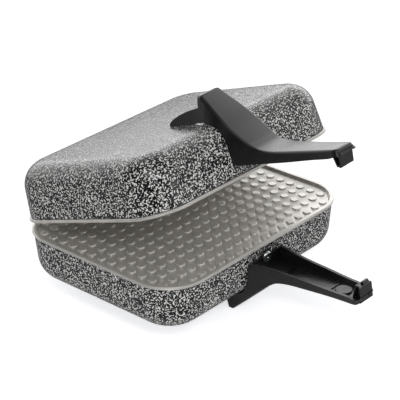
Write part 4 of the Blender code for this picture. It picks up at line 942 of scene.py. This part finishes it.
def outer_points(section):
    """A section's outer face, from one free edge over the two rounded corners to the other."""
    near_edge = at(-section.edge_half, section.edge_y, section.edge_depth)
    near_web = at(-section.web_half, section.web_y, section.web_depth)
    far_web = at(section.web_half, section.web_y, section.web_depth)
    far_edge = at(section.edge_half, section.edge_y, section.edge_depth)
    near_corner = rounded_corner(near_edge, near_web, far_web, section.radius)
    far_corner = rounded_corner(near_web, far_web, far_edge, section.radius)
    return [near_edge, *near_corner, *far_corner, far_edge]


def add_channel(bm, sections):
    """The open channel of the grip and its root, with rounded corners along its outer face."""
    rings = []
    for section in sections:
        edge = section.edge_half - HANDLE_CHEEK
        web = section.web_half - HANDLE_CHEEK
        ring = outer_points(section)
        ring += [at(edge, section.edge_y, section.edge_depth), at(web, section.in_y, section.in_depth)]
        ring += [at(-web, section.in_y, section.in_depth), at(-edge, section.edge_y, section.edge_depth)]
        rings.append(ring)
    swept(bm, rings)


def add_foot(bm, last):
    """The closed end of the foot."""
    ends = (last.web_y, last.web_y + FOOT_FLAT)
    swept(bm, [outer_points(last._replace(web_y=y, edge_y=y)) for y in ends])


def add_wing(bm, side, last):
    """One wing, which carries the foot's side on over the shell's flat face."""
    lean = (last.edge_half - last.web_half) / (last.web_depth - last.edge_depth)
    low_half = last.edge_half - WING_STEP
    start = last.web_y + FOOT_FLAT
    rings = []
    for along, rise in smooth_rows(WING_SHARES, STATION_STEPS):
        y = start + along * WING_LENGTH
        recess = max(0, 1 - (y - start) / WING_RECESS_END)
        low = SHELL_FACE + TOUCH_GAP
        if y < start + WING_RECESS_END:
            low = SHELL_FACE + WING_RECESS + min(1, recess) * (CHEEK_STANDOFF + WING_STEP - WING_RECESS)
        high = SHELL_FACE + rise * (STAND_DEPTH - SHELL_FACE)
        top_half = low_half - lean * (high - last.edge_depth)
        outline = (
            (low_half, low),
            (top_half, high),
            (top_half - HANDLE_CHEEK, high),
            (low_half - HANDLE_CHEEK, low),
        )
        rings.append([at(side * x, y, depth) for x, depth in outline])
    swept(bm, rings)


def add_root_wall(bm):
    """The wall across the root that lies against the shell, with the tab that the handle's screw holds."""
    half = ROOT_WIDTH / 2 - HANDLE_CHEEK / 2
    reach = SCREW_HEAD_RADIUS + SCREW_TAB_MARGIN
    shoulder = ROOT_EDGE_DEPTH + TOUCH_GAP
    top = HANDLE_SCREW_DEPTH - reach
    outline = (
        (-reach, top),
        (reach, top),
        (reach, shoulder),
        (half, shoulder),
        (half, ROOT_WALL_BOTTOM),
        (-half, ROOT_WALL_BOTTOM),
        (-half, shoulder),
        (-reach, shoulder),
    )
    offsets = (ROOT_STANDOFF, ROOT_STANDOFF + ROOT_WALL)
    swept(bm, [[at(x, front_y(depth, offset), depth) for x, depth in outline] for offset in offsets])


def add_block(bm, low_corners, high_corners, depths):
    """A block between two outlines in the tip's own x and y, at two depths."""
    levels = zip((low_corners, high_corners), depths)
    swept(bm, [[at(NUB_SHIFT + x, TIP_Y + y, depth) for x, y in corners] for corners, depth in levels])


def oblong(left, right, near, far):
    """The corners of an oblong outline."""
    return ((left, near), (right, near), (right, far), (left, far))


def add_tip_wall(bm, first):
    """The wall that closes the channel at its tip."""
    top = (first.edge_y, first.edge_depth + NUB_STEP, first.edge_half)
    foot = (first.web_y, first.web_depth - TIP_EDGE, first.web_half)
    rings = []
    for y, depth, half in (top, foot):
        near = half - TIP_ROUND
        far = half - HANDLE_CHEEK / 2
        corners = ((-near, NUB_STEP), (near, NUB_STEP), (far, TIP_WALL), (-far, TIP_WALL))
        rings.append([at(x, y + inward, depth) for x, inward in corners])
    swept(bm, rings)


def add_nub(bm, half):
    """The nub at the tip: a narrow core between its face and a wider plate, with a cap and a ridge."""
    base = GRIP_DEPTHS[half] - HANDLE_WEB / 2
    flat = NUB_FLAT_DEPTHS[half]
    face = NUB_FACE_WIDTH / 2
    face_top = face - NUB_TAPER / 2
    core = NUB_CORE_WIDTH / 2
    wide = NUB_WIDTH / 2
    top = NUB_SETBACK + NUB_TAPER
    end = top + NUB_TOP_LENGTH
    blocks = (
        (
            oblong(-face, face, NUB_SETBACK, NUB_SETBACK + NUB_PLATE),
            oblong(-face_top, face_top, top, top + NUB_PLATE),
            (base, flat + NUB_STEP),
        ),
        (
            oblong(-wide, wide, NUB_LENGTH - NUB_PLATE, NUB_LENGTH),
            oblong(NUB_TAPER - wide, wide - NUB_TAPER, end - NUB_PLATE, end),
            (base, flat),
        ),
        (
            oblong(-core, core, NUB_SETBACK + NUB_LAP, NUB_LENGTH - NUB_LAP),
            oblong(-core, core, top + NUB_LAP, end - NUB_LAP),
            (base, flat + 2 * NUB_STEP),
        ),
    )
    for low_corners, high_corners, depths in blocks:
        add_block(bm, low_corners, high_corners, depths)
    reach = wide - NUB_TAPER - NUB_LAP
    low = at(NUB_SHIFT - reach, TIP_Y + top + NUB_LAP, flat + NUB_CAP)
    box(bm, low, at(NUB_SHIFT + reach, TIP_Y + end - NUB_LAP, flat + NUB_STEP / 2))
    outer = reach - NUB_STEP
    inner = outer - NUB_RIDGE_WIDTH
    far = end - NUB_PLATE - NUB_LAP
    foot = oblong(inner, outer, top + NUB_STEP, far)
    ridge = oblong(inner, outer, top + NUB_RIDGE_SLOPE, far)
    add_block(bm, foot, ridge, (flat + NUB_LAP, NUB_RIDGE_DEPTHS[half]))


def add_disc(bm, grip_depth):
    """The low disc moulded near the tip."""
    sunk = PAD_RISE / 2
    middle = at(0, TIP_Y + PAD_FROM_TIP, grip_depth - HANDLE_WEB - (PAD_RISE - sunk) / 2)
    bmesh.ops.create_cone(
        bm, cap_ends=True, segments=ROUND_SEGMENTS, radius1=PAD_RADIUS, radius2=PAD_RADIUS - PAD_CHAMFER,
        depth=PAD_RISE + sunk, matrix=Matrix.Translation(middle),
    )


def floor_level(y, grip_depth):
    """The depth of the channel's floor, which falls evenly from the tip to the root."""
    share = (y - TIP_Y) / GRIP_REACH
    start = grip_depth - HANDLE_WEB
    return start + (CHANNEL_FLOOR_DEPTH - start) * share


def add_floor(bm, sections, grip_depth):
    """The floor that carries the channel's bottom on to the root wall, over the hollow behind it."""
    into_wall = ROOT_STANDOFF + ROOT_WALL / 2
    rings = []
    for section in sections:
        level = floor_level(section.in_y, grip_depth)
        share = (level - section.edge_depth) / (section.web_depth - section.edge_depth)
        y = section.edge_y + (section.web_y - section.edge_y) * share
        half = section.edge_half + (section.web_half - section.edge_half) * share - HANDLE_CHEEK / 2
        behind = rings and y > front_y(level, into_wall) - RIB_WIDTH
        if section.in_depth < level or behind:
            continue
        below = level + CHANNEL_FLOOR
        rings.append([at(-half, y, level), at(half, y, level), at(half, y, below), at(-half, y, below)])
    end = front_y(CHANNEL_FLOOR_DEPTH, into_wall)
    rings.append([Vector((point.x, end, point.z)) for point in rings[-1]])
    swept(bm, rings)


def add_ribs(bm, sections):
    """The two low ribs across the channel's floor, one by the disc and one by the root."""
    for place in (TIP_Y + PAD_FROM_TIP + PAD_RADIUS + RIB_FROM_PAD, -RIM_WIDTH / 2 - RIB_FROM_WALL):
        section = min(sections, key=lambda item: abs(item.in_y - place))
        half = section.web_half - HANDLE_CHEEK / 2
        low = at(-half, section.in_y - RIB_WIDTH / 2, section.in_depth + HANDLE_WEB / 2)
        box(bm, low, at(half, section.in_y + RIB_WIDTH / 2, section.in_depth - RIB_HEIGHT))


def handle_mesh(half):
    """The whole handle moulding of one half, whose tip stands a little to one side."""
    grip_depth = GRIP_DEPTHS[half]
    sections = handle_sections(smooth_rows(handle_stations(grip_depth, EDGE_DEPTHS[half]), STATION_STEPS))
    rounded = with_round_tip(sections)
    bm = bmesh.new()
    add_channel(bm, rounded)
    add_foot(bm, rounded[-1])
    for side in (-1, 1):
        add_wing(bm, side, rounded[-1])
    add_root_wall(bm)
    add_tip_wall(bm, sections[0])
    add_nub(bm, half)
    add_disc(bm, grip_depth)
    add_floor(bm, rounded, grip_depth)
    add_ribs(bm, rounded)
    for vert in bm.verts:
        along = (-RIM_WIDTH / 2 - vert.co.y) / GRIP_REACH
        vert.co.x += TIP_SHIFTS[half] * min(1, max(0, along))
    close_up(bm)
    return to_mesh("handle", bm)


# Hinge

def bracket_plate(bm):
    """The plate of a hinge bracket, on the shell's rear wall."""
    faces = (TOUCH_GAP, TOUCH_GAP + BRACKET_PLATE)
    points = [(rear_y(BRACKET_TOP, offset), BRACKET_TOP) for offset in faces]
    points += [(rear_y(BRACKET_BOTTOM, offset), BRACKET_BOTTOM) for offset in reversed(faces)]
    slab(bm, [at(-BRACKET_HALF, y, depth) for y, depth in points], Vector((2 * BRACKET_HALF, 0, 0)))


def knuckle(bm, start, side):
    """A knuckle round the hinge axis with the arm that carries it."""
    low = start if side > 0 else -start - KNUCKLE_LENGTH
    outline = [at(low, rear_y(ARM_ROOT, BRACKET_PLATE / 2), ARM_ROOT)]
    outline.append(at(low, rear_y(BRACKET_TOP, BRACKET_PLATE / 2), BRACKET_TOP + ARM_STEP))
    for step in range(ROUND_SEGMENTS + 1):
        angle = KNUCKLE_FRONT + (KNUCKLE_REAR - KNUCKLE_FRONT) * step / ROUND_SEGMENTS
        y = HINGE_Y + KNUCKLE_RADIUS * math.cos(angle)
        outline.append(at(low, y, KNUCKLE_RADIUS * math.sin(angle)))
    outline.append(at(low, rear_y(ARM_ROOT, BRACKET_PLATE), ARM_ROOT))
    slab(bm, outline, Vector((KNUCKLE_LENGTH, 0, 0)))


def leg_foot_y():
    """The middle of a rear leg's foot, which starts where the shell's flat face does."""
    return RIM_WIDTH / 2 - fillet_point(1.0)[0] + LEG_LENGTH / 2


def leg(bm, side):
    """One rear leg, which follows the shell's rounded edge down to its foot."""
    foot_depth = STAND_DEPTH - FOOT_PAD
    points = [(rear_y(LEG_TOP, BRACKET_PLATE / 2), LEG_TOP)]
    for step in range(FILLET_STEPS + 1):
        inset, depth = fillet_point(step / FILLET_STEPS, TOUCH_GAP)
        points.append((RIM_WIDTH / 2 - inset, depth))
    points += [
        (leg_foot_y() - LEG_LENGTH / 2, foot_depth),
        (leg_foot_y() + LEG_LENGTH / 2, foot_depth),
        (rear_y(LEG_TOP, BRACKET_PLATE) - LEG_STEP, LEG_KNEE_DEPTH),
        (rear_y(LEG_TOP, BRACKET_PLATE), LEG_TOP),
    ]
    inner = side * (OUTER_KNUCKLE_START + LEG_STEP)
    slab(bm, [at(inner, y, depth) for y, depth in points], Vector((side * LEG_WIDTH, 0, 0)))


def bracket_mesh(start, with_legs):
    """A hinge bracket with its knuckles."""
    bm = bmesh.new()
    bracket_plate(bm)
    for side in (-1, 1):
        knuckle(bm, start, side)
        if with_legs:
            leg(bm, side)
    close_up(bm)
    return to_mesh("bracket", bm)


def along_x(x):
    """A frame on the hinge axis whose Z axis points along X."""
    return Matrix.Translation(at(x, HINGE_Y, 0)) @ Matrix.Rotation(math.pi / 2, 4, "Y")


def pin_mesh():
    """The hollow hinge pin with chamfered ends."""
    edge = RIM_ROUND
    half = PIN_HALF
    bm = bmesh.new()
    profile = (
        (PIN_BORE, -half + edge / 2),
        (PIN_BORE + edge / 2, -half),
        (PIN_RADIUS - edge, -half),
        (PIN_RADIUS, -half + edge),
        (PIN_RADIUS, half - edge),
        (PIN_RADIUS - edge, half),
        (PIN_BORE + edge / 2, half),
        (PIN_BORE, half - edge / 2),
        (PIN_BORE, -half + edge / 2),
    )
    spun(bm, profile, along_x(0))
    close_up(bm)
    return to_mesh("pin", bm)


def clip_mesh(side):
    """A retaining ring of the hinge pin."""
    inner = PIN_RADIUS + TOUCH_GAP
    outer = inner + CLIP_RIM
    half = CLIP_THICKNESS / 2
    bm = bmesh.new()
    place = along_x(side * (OUTER_KNUCKLE_START + KNUCKLE_LENGTH + TOUCH_GAP + half))
    spun(bm, ((inner, -half), (outer, -half), (outer, half), (inner, half), (inner, -half)), place)
    for turn in range(CLIP_EARS):
        ear = place @ Matrix.Rotation(math.tau * turn / CLIP_EARS, 4, "Z")
        box(bm, Vector((-CLIP_RIM / 2, inner, -half)), Vector((CLIP_RIM / 2, outer + TOUCH_GAP, half)), ear)
    close_up(bm)
    return to_mesh("clip", bm)


def pad_mesh(side):
    """The rubber pad under a rear leg, with rounded edges."""
    middle = side * (OUTER_KNUCKLE_START + LEG_WIDTH / 2)
    half = LEG_WIDTH / 2 - FOOT_PAD_MARGIN
    deep = LEG_LENGTH / 2 - FOOT_PAD_MARGIN
    top = STAND_DEPTH - FOOT_PAD + TOUCH_GAP
    bm = bmesh.new()
    low = at(middle - half, leg_foot_y() - deep, STAND_DEPTH)
    box(bm, low, at(middle + half, leg_foot_y() + deep, top))
    bevel_edges(bm, bm.edges[:], RIM_ROUND, EDGE_SEGMENTS)
    return to_mesh("pad", bm)


# Screws

def pan_screw_mesh(place, thickness):
    """A pan-head screw with a cross recess, with its head's seat on a frame."""
    reach = thickness + SHELL_WALL + SCREW_TIP
    height = SCREW_HEAD_HEIGHT
    profile = [
        (0, -reach),
        (SCREW_RADIUS * SCREW_POINT_SHARE, -reach),
        (SCREW_RADIUS, SCREW_RADIUS - reach),
        (SCREW_RADIUS, 0),
        (SCREW_HEAD_RADIUS * HEAD_SEAT_SHARE, 0),
        (SCREW_HEAD_RADIUS, height * HEAD_LIP_SHARE),
    ]
    for step in range(HEAD_STEPS):
        angle = math.pi / 2 * step / HEAD_STEPS
        rise = HEAD_SIDE_SHARE + (1 - HEAD_SIDE_SHARE) * math.sin(angle)
        profile.append((SCREW_HEAD_RADIUS * math.cos(angle) ** HEAD_SQUARENESS, height * rise))
    profile.append((0, height))
    bm = bmesh.new()
    spun(bm, profile, Matrix())
    close_up(bm)
    head = to_mesh("screw", bm)
    cutter = bmesh.new()
    half = Vector((CROSS_LENGTH / 2, CROSS_WIDTH / 2))
    box(cutter, Vector((*-half, height - CROSS_DEPTH)), Vector((*half, height + CUT_OVERRUN)))
    slot_one = to_mesh("slot", cutter)
    slot_two = slot_one.copy()
    slot_two.transform(Matrix.Rotation(math.pi / 2, 4, "Z"))
    mesh = cut_away(head, [slot_one, slot_two])
    mesh.transform(place @ Matrix.Translation((0, 0, TOUCH_GAP)) @ Matrix.Rotation(CROSS_TURN, 4, "Z"))
    return mesh


# Inlet

def framed_box_mesh(half_x, half_y, low, high, rounding=0.0):
    """A box on the inlet's frame, with its upright edges rounded."""
    bm = bmesh.new()
    box(bm, Vector((-half_x, -half_y, low)), Vector((half_x, half_y, high)))
    if rounding:
        upright = [edge for edge in bm.edges if abs(edge.verts[0].co.z - edge.verts[1].co.z) > TOUCH_GAP]
        bevel_edges(bm, upright, rounding, INLET_SEGMENTS)
    bmesh.ops.recalc_face_normals(bm, faces=bm.faces)
    mesh = to_mesh("inlet_box", bm)
    mesh.transform(on_wall("right", INLET_Y, INLET_DEPTH))
    return mesh


def inlet_housing_mesh():
    """The inlet's flange and socket as one moulding."""
    top = TOUCH_GAP + INLET_FLANGE
    flange = framed_box_mesh(INLET_FLANGE_LENGTH / 2, INLET_FLANGE_HEIGHT / 2, TOUCH_GAP, top, INLET_ROUND)
    half_x = INLET_BODY_LENGTH / 2
    half_y = INLET_BODY_HEIGHT / 2
    body = framed_box_mesh(half_x, half_y, -INLET_BODY_REACH, TOUCH_GAP + INLET_FLANGE / 2)
    bm = bmesh.new()
    bm.from_mesh(flange)
    bm.from_mesh(body)
    whole = to_mesh("inlet_housing", bm)
    socket = framed_box_mesh(
        half_x - INLET_WALL, half_y - INLET_WALL, INLET_FLOOR - INLET_BODY_REACH, top + CUT_OVERRUN,
        INLET_ROUND,
    )
    return cut_away(whole, [socket])


def inlet_pin_mesh(side):
    """A contact pin with a rounded end."""
    place = on_wall("right", INLET_Y, INLET_DEPTH) @ Matrix.Translation((side * INLET_PIN_SPACING, 0, 0))
    top = -INLET_PIN_RECESS
    low = -INLET_BODY_REACH - INLET_TAIL
    radius = INLET_PIN_RADIUS
    bm = bmesh.new()
    bend = (radius * INLET_PIN_ROUND, top - radius * (1 - INLET_PIN_ROUND))
    profile = ((0, low), (radius, low), (radius, top - radius), bend, (0, top))
    spun(bm, profile, place, INLET_PIN_SEGMENTS)
    close_up(bm)
    return to_mesh("inlet_pin", bm)


# Leads

def lead_points():
    """The link lead's way from inside the wall, through its grommet and into the hollow pin."""
    hole = on_wall("rear", LEAD_X, LEAD_DEPTH)
    outward = hole.to_3x3() @ Vector((0, 0, 1))
    seat = hole.translation
    mouth = Vector((PIN_HALF, HINGE_Y, 0))
    route = [seat + outward * LEAD_STRAIGHT * share for share in LEAD_SHARES]
    route += [
        at(LEAD_X - LEAD_RADIUS, HINGE_Y, LEAD_BEND_DEPTH),
        mouth + Vector((KNUCKLE_RADIUS, 0, 0)),
        mouth,
        Vector((TOUCH_GAP, HINGE_Y, 0)),
    ]
    return [Vector(point) for point in smooth_rows(route, LEAD_STEPS)]


def lead_mesh():
    """The sleeved link lead."""
    curve = bpy.data.curves.new("lead", "CURVE")
    curve.dimensions = "3D"
    curve.fill_mode = "FULL"
    curve.bevel_depth = LEAD_RADIUS
    curve.bevel_resolution = LEAD_RING_STEPS
    curve.use_fill_caps = True
    points = lead_points()
    line = curve.splines.new("POLY")
    line.points.add(len(points) - 1)
    for spot, point in zip(line.points, points):
        spot.co = (*point, 1)
    holder = bpy.data.objects.new("lead", curve)
    bpy.context.scene.collection.objects.link(holder)
    graph = bpy.context.evaluated_depsgraph_get()
    mesh = bpy.data.meshes.new_from_object(holder.evaluated_get(graph))
    bpy.data.objects.remove(holder)
    bm = bmesh.new()
    bm.from_mesh(mesh)
    close_up(bm)
    return to_mesh("lead", bm)


def grommet_mesh():
    """The grommet round the lead."""
    inner = -SHELL_WALL - GROMMET_CLEARANCE
    outer = GROMMET_CLEARANCE
    edge = GROMMET_FLANGE / 2
    bm = bmesh.new()
    profile = (
        (GROMMET_BORE, inner - GROMMET_FLANGE),
        (GROMMET_RADIUS, inner - GROMMET_FLANGE),
        (GROMMET_RADIUS, inner),
        (GROMMET_NECK, inner),
        (GROMMET_NECK, outer),
        (GROMMET_RADIUS, outer),
        (GROMMET_RADIUS, outer + edge),
        (GROMMET_RADIUS - edge, outer + GROMMET_FLANGE),
        (GROMMET_BORE, outer + GROMMET_FLANGE),
        (GROMMET_BORE, inner - GROMMET_FLANGE),
    )
    spun(bm, profile, on_wall("rear", LEAD_X, LEAD_DEPTH))
    close_up(bm)
    return to_mesh("grommet", bm)


# Settings

class WaffleIronLooks(PropertyGroup):
    """Colours and light that a user would change."""

    enamel_colour: FloatVectorProperty(
        name="Enamel", description="Colour of the shells' dark ground", subtype="COLOR",
        min=0, max=1, default=(0.006, 0.006, 0.0065),
    )
    # The pale speck colour is partly the enamel's own specks and partly painted glints of light.
    speck_and_glint_colour: FloatVectorProperty(
        name="Specks", description="Colour of the pale specks in the enamel", subtype="COLOR",
        min=0, max=1, default=(0.60, 0.60, 0.585),
    )
    speck_density: FloatProperty(
        name="Speck density", description="Specks along a metre of enamel",
        min=50, max=2000, default=680,
    )
    plate_colour: FloatVectorProperty(
        name="Plates", description="Colour of the cast plates", subtype="COLOR",
        min=0, max=1, default=(0.72, 0.70, 0.665),
    )
    handle_colour: FloatVectorProperty(
        name="Handles", description="Colour of the handles and hinge", subtype="COLOR",
        min=0, max=1, default=(0.005, 0.005, 0.0055),
    )
    edge_radius: FloatProperty(
        name="Handle edges", description="Radius of the handles' edges", subtype="DISTANCE",
        unit="LENGTH", min=0.0001, max=0.002, default=HANDLE_ROUND,
    )
    edge_segments: IntProperty(
        name="Edge segments", description="Facets across a rounded edge", min=1, max=8,
        default=EDGE_SEGMENTS,
    )
    key_power: FloatProperty(
        name="Key light", description="Power of the main soft light", unit="POWER",
        min=0, max=200, default=7,
    )
    fill_power: FloatProperty(
        name="Fill light", description="Power of the side soft light", unit="POWER",
        min=0, max=200, default=4,
    )
    glint_power: FloatProperty(
        name="Glint", description="Power of the small light behind the viewer", unit="POWER",
        min=0, max=50, default=6,
    )
    sky_strength: FloatProperty(
        name="Sky", description="Strength of the even light from all round", min=0, max=2, default=0.36,
    )


# Operators

class WAFFLE_OT_shells(Operator):
    """Makes the two enamelled shells"""

    bl_idname = "waffle_iron.shells"
    bl_label = "Shells"

    def execute(self, context):
        """Lays a shell into each half, with the inlet's opening in the lower one."""
        whole = shell_mesh()
        half_x = INLET_BODY_LENGTH / 2 + TOUCH_GAP
        half_y = INLET_BODY_HEIGHT / 2 + TOUCH_GAP
        opening = framed_box_mesh(half_x, half_y, -SHELL_WALL - CUT_OVERRUN, CUT_OVERRUN)
        opened = cut_away(whole.copy(), [opening])
        for half, mesh in (("lower", opened), ("upper", whole)):
            show(f"{half}_shell_skin", mesh, half, "speckled_enamel", [f"{half}_shell"])
        return {"FINISHED"}


class WAFFLE_OT_plates(Operator):
    """Makes the two studded plates"""

    bl_idname = "waffle_iron.plates"
    bl_label = "Plates"

    def execute(self, context):
        """Lays a plate into each half."""
        mesh = plate_mesh()
        for half in HALVES:
            show(f"{half}_studded_plate", mesh.copy(), half, "cast_plate", [f"{half}_plate"])
        return {"FINISHED"}


class WAFFLE_OT_handles(Operator):
    """Makes the two handles"""

    bl_idname = "waffle_iron.handles"
    bl_label = "Handles"

    def execute(self, context):
        """Lays a handle into each half."""
        looks = context.scene.waffle_iron_looks
        for half in HALVES:
            show(
                f"{half}_handle_moulding", handle_mesh(half), half, "black_plastic", [f"{half}_handle"],
                looks.edge_radius, looks.edge_segments,
            )
        return {"FINISHED"}


class WAFFLE_OT_hinge(Operator):
    """Makes the hinge with its brackets, pin, rings and rear feet"""

    bl_idname = "waffle_iron.hinge"
    bl_label = "Hinge"

    def execute(self, context):
        """Lays the brackets into both halves and the rest into the lower one."""
        brackets = {
            "lower": bracket_mesh(OUTER_KNUCKLE_START, with_legs=True),
            "upper": bracket_mesh(INNER_KNUCKLE_START, with_legs=False),
        }
        for half, mesh in brackets.items():
            name = f"{half}_bracket_moulding"
            show(name, mesh, half, "black_plastic", [f"{half}_hinge_bracket"], BRACKET_ROUND)
        show("hollow_hinge_pin", pin_mesh(), "lower", "zinc_steel", ["hinge_pin"])
        for side, word in SIDES:
            show(f"pin_ring_{word}", clip_mesh(side), "lower", "zinc_steel", [f"hinge_clip_{word}"])
            show(f"rear_pad_{word}", pad_mesh(side), "lower", "black_rubber", [f"rear_foot_pad_{word}"])
        return {"FINISHED"}


class WAFFLE_OT_screws(Operator):
    """Makes the screws that show"""

    bl_idname = "waffle_iron.screws"
    bl_label = "Screws"

    def execute(self, context):
        """Lays the handle's and the bracket's screws into each half."""
        front = on_wall("front", 0, HANDLE_SCREW_DEPTH, ROOT_STANDOFF + ROOT_WALL)
        places = {"handle_screw": (front, ROOT_WALL)}
        for side, word in SIDES:
            seat = on_wall("rear", side * BRACKET_SCREW_X, BRACKET_SCREW_DEPTH, TOUCH_GAP + BRACKET_PLATE)
            places[f"bracket_screw_{word}"] = (seat, BRACKET_PLATE)
        for node, (place, thickness) in places.items():
            mesh = pan_screw_mesh(place, thickness)
            for half in HALVES:
                name = f"{half}_{node}"
                show(f"{name}_cross_head", mesh.copy(), half, "zinc_steel", [name])
        return {"FINISHED"}


class WAFFLE_OT_inlet(Operator):
    """Makes the appliance inlet and its pins"""

    bl_idname = "waffle_iron.inlet"
    bl_label = "Inlet"

    def execute(self, context):
        """Lays the inlet into the lower half."""
        show(
            "inlet_moulding", inlet_housing_mesh(), "lower", "black_plastic", ["inlet_housing"],
            INLET_EDGE, INLET_EDGE_SEGMENTS,
        )
        for side, word in ((-1, "front"), (0, "middle"), (1, "rear")):
            pin = inlet_pin_mesh(side)
            show(f"contact_pin_{word}", pin, "lower", "brass_contact", [f"inlet_pin_{word}"])
        return {"FINISHED"}


class WAFFLE_OT_leads(Operator):
    """Makes the link leads and their grommets"""

    bl_idname = "waffle_iron.leads"
    bl_label = "Leads"

    def execute(self, context):
        """Lays a lead and a grommet into each half."""
        lead = lead_mesh()
        grommet = grommet_mesh()
        for half in HALVES:
            show(f"{half}_sleeved_lead", lead.copy(), half, "glass_sleeve", [f"{half}_link_lead"])
            show(f"{half}_ring_grommet", grommet.copy(), half, "black_rubber", [f"{half}_grommet"])
        return {"FINISHED"}


class WAFFLE_OT_inside(Operator):
    """Finishes the pieces inside the shells"""

    bl_idname = "waffle_iron.inside"
    bl_label = "Inside"

    def execute(self, context):
        """Gives every node of the frame its finish."""
        slots = {part["node"]: part["material_slot"] for part in frame["record"]["subparts"]}
        for name, node in frame["nodes"].items():
            node.data.materials.clear()
            node.data.materials.append(finish(slots[name]))
        return {"FINISHED"}


class WAFFLE_OT_stage(Operator):
    """Makes the floor, the lights and the camera"""

    bl_idname = "waffle_iron.stage"
    bl_label = "Stage"

    def execute(self, context):
        """Sets a pale floor, soft light and the camera at the picture's angle."""
        looks = context.scene.waffle_iron_looks
        make_floor()
        make_sky(looks.sky_strength)
        powers = {"key": looks.key_power, "fill": looks.fill_power, "glint": looks.glint_power}
        for name, place, size in LIGHTS:
            soft_light(name, place, size, powers[name])
        make_camera()
        context.scene.view_settings.view_transform = "Standard"
        return {"FINISHED"}


# Studio

def make_floor():
    """A wide pale floor that looks white and keeps the iron's shadow."""
    sockets = {
        "Roughness": FLOOR_ROUGHNESS,
        "Specular IOR Level": 0.0,
        "Emission Color": (*FLOOR_GLOW_COLOUR, 1),
    }
    material, tree = surface("pale_floor", sockets)
    shader = tree.nodes["Principled BSDF"]
    rays = add_node(tree, "LightPath").outputs
    tones = {"Value": rays["Is Glossy Ray"], "To Min": FLOOR_TONE, "To Max": FLOOR_IN_GLOSS}
    tree.links.new(add_node(tree, "MapRange", tones).outputs["Result"], shader.inputs["Base Color"])
    glow = 0.0
    for ray, strength in FLOOR_GLOW:
        term = add_node(tree, "Math", {0: rays[ray], 1: strength, 2: glow}, "MULTIPLY_ADD")
        glow = term.outputs["Value"]
    tree.links.new(glow, shader.inputs["Emission Strength"])
    bm = bmesh.new()
    bmesh.ops.create_grid(bm, x_segments=1, y_segments=1, size=FLOOR_SIZE / 2)
    mesh = to_mesh("floor", bm)
    mesh.materials.append(material)
    floor = bpy.data.objects.new("floor", mesh)
    bpy.context.scene.collection.objects.link(floor)


def make_sky(strength):
    """Even light from all round, which the camera sees as white and gloss as brighter on one side."""
    world = bpy.data.worlds.new("sky")
    bpy.context.scene.world = world
    world.use_nodes = True
    tree = world.node_tree
    direction = add_node(tree, "TexCoord").outputs["Generated"]
    slant = add_node(tree, "VectorMath", {0: direction, 1: SKY_SLANT}, "DOT_PRODUCT").outputs["Value"]
    lifted = add_node(tree, "Math", {0: slant, 1: SKY_LEVEL}, "ADD").outputs["Value"]
    level = add_node(tree, "Math", {0: lifted, 1: SKY_LEAST}, "MAXIMUM").outputs["Value"]
    rays = add_node(tree, "LightPath").outputs
    for_gloss = {"Value": rays["Is Glossy Ray"], "To Min": strength, "To Max": level}
    seen = add_node(tree, "MapRange", for_gloss).outputs["Result"]
    for_camera = {"Value": rays["Is Camera Ray"], "To Min": seen, "To Max": 1.0}
    seen = add_node(tree, "MapRange", for_camera).outputs["Result"]
    background = tree.nodes["Background"]
    background.inputs["Color"].default_value = (1, 1, 1, 1)
    tree.links.new(seen, background.inputs["Strength"])


def soft_light(name, place, size, power):
    """A square soft light that points at the iron."""
    lamp = bpy.data.lights.new(name, "AREA")
    lamp.shape = "SQUARE"
    lamp.size = size
    lamp.energy = power
    light = bpy.data.objects.new(name, lamp)
    bpy.context.scene.collection.objects.link(light)
    light.location = place
    aim = Vector((0, CENTRE_Y, PARTING)) - place
    light.rotation_euler = aim.to_track_quat("-Z", "Y").to_euler()


def make_camera():
    """The camera at the picture's angle."""
    data = bpy.data.cameras.new("camera")
    data.lens = LENS_MM
    data.sensor_width = SENSOR_MM
    data.clip_end = 2 * FLOOR_SIZE
    camera = bpy.data.objects.new("camera", data)
    bpy.context.scene.collection.objects.link(camera)
    turn = Euler((math.pi / 2 - VIEW_ELEVATION, 0, VIEW_AZIMUTH)).to_matrix().to_4x4()
    roll = Matrix.Rotation(VIEW_ROLL, 4, "Z")
    camera.matrix_world = Matrix.Translation(CAMERA_PLACE) @ turn @ roll
    bpy.context.scene.camera = camera


# Panel and registration

class WAFFLE_PT_panel(Panel):
    """Lists the pieces and their settings"""

    bl_idname = "WAFFLE_PT_panel"
    bl_label = "Waffle iron"
    bl_space_type = "VIEW_3D"
    bl_region_type = "UI"
    bl_category = "Waffle iron"

    def draw(self, context):
        """Draws the settings and a button for each operator."""
        looks = context.scene.waffle_iron_looks
        for name in WaffleIronLooks.__annotations__:
            self.layout.prop(looks, name)
        for operator in OPERATORS:
            self.layout.operator(operator.bl_idname)


OPERATORS = (
    WAFFLE_OT_inside,
    WAFFLE_OT_shells,
    WAFFLE_OT_plates,
    WAFFLE_OT_handles,
    WAFFLE_OT_hinge,
    WAFFLE_OT_screws,
    WAFFLE_OT_inlet,
    WAFFLE_OT_leads,
    WAFFLE_OT_stage,
)
CLASSES = (WaffleIronLooks, *OPERATORS, WAFFLE_PT_panel)


def register():
    """Registers the classes and the scene's settings."""
    for item in CLASSES:
        bpy.utils.register_class(item)
    bpy.types.Scene.waffle_iron_looks = PointerProperty(type=WaffleIronLooks)


def unregister():
    """Removes the scene's settings and the classes."""
    del bpy.types.Scene.waffle_iron_looks
    for item in reversed(CLASSES):
        bpy.utils.unregister_class(item)


def main():
    """Builds the whole scene."""
    register()
    bpy.ops.waffle_iron.inside()
    bpy.ops.waffle_iron.shells()
    bpy.ops.waffle_iron.plates()
    bpy.ops.waffle_iron.handles()
    bpy.ops.waffle_iron.hinge()
    bpy.ops.waffle_iron.screws()
    bpy.ops.waffle_iron.inlet()
    bpy.ops.waffle_iron.leads()
    bpy.ops.waffle_iron.stage()


if __name__ == "__main__":
    main()
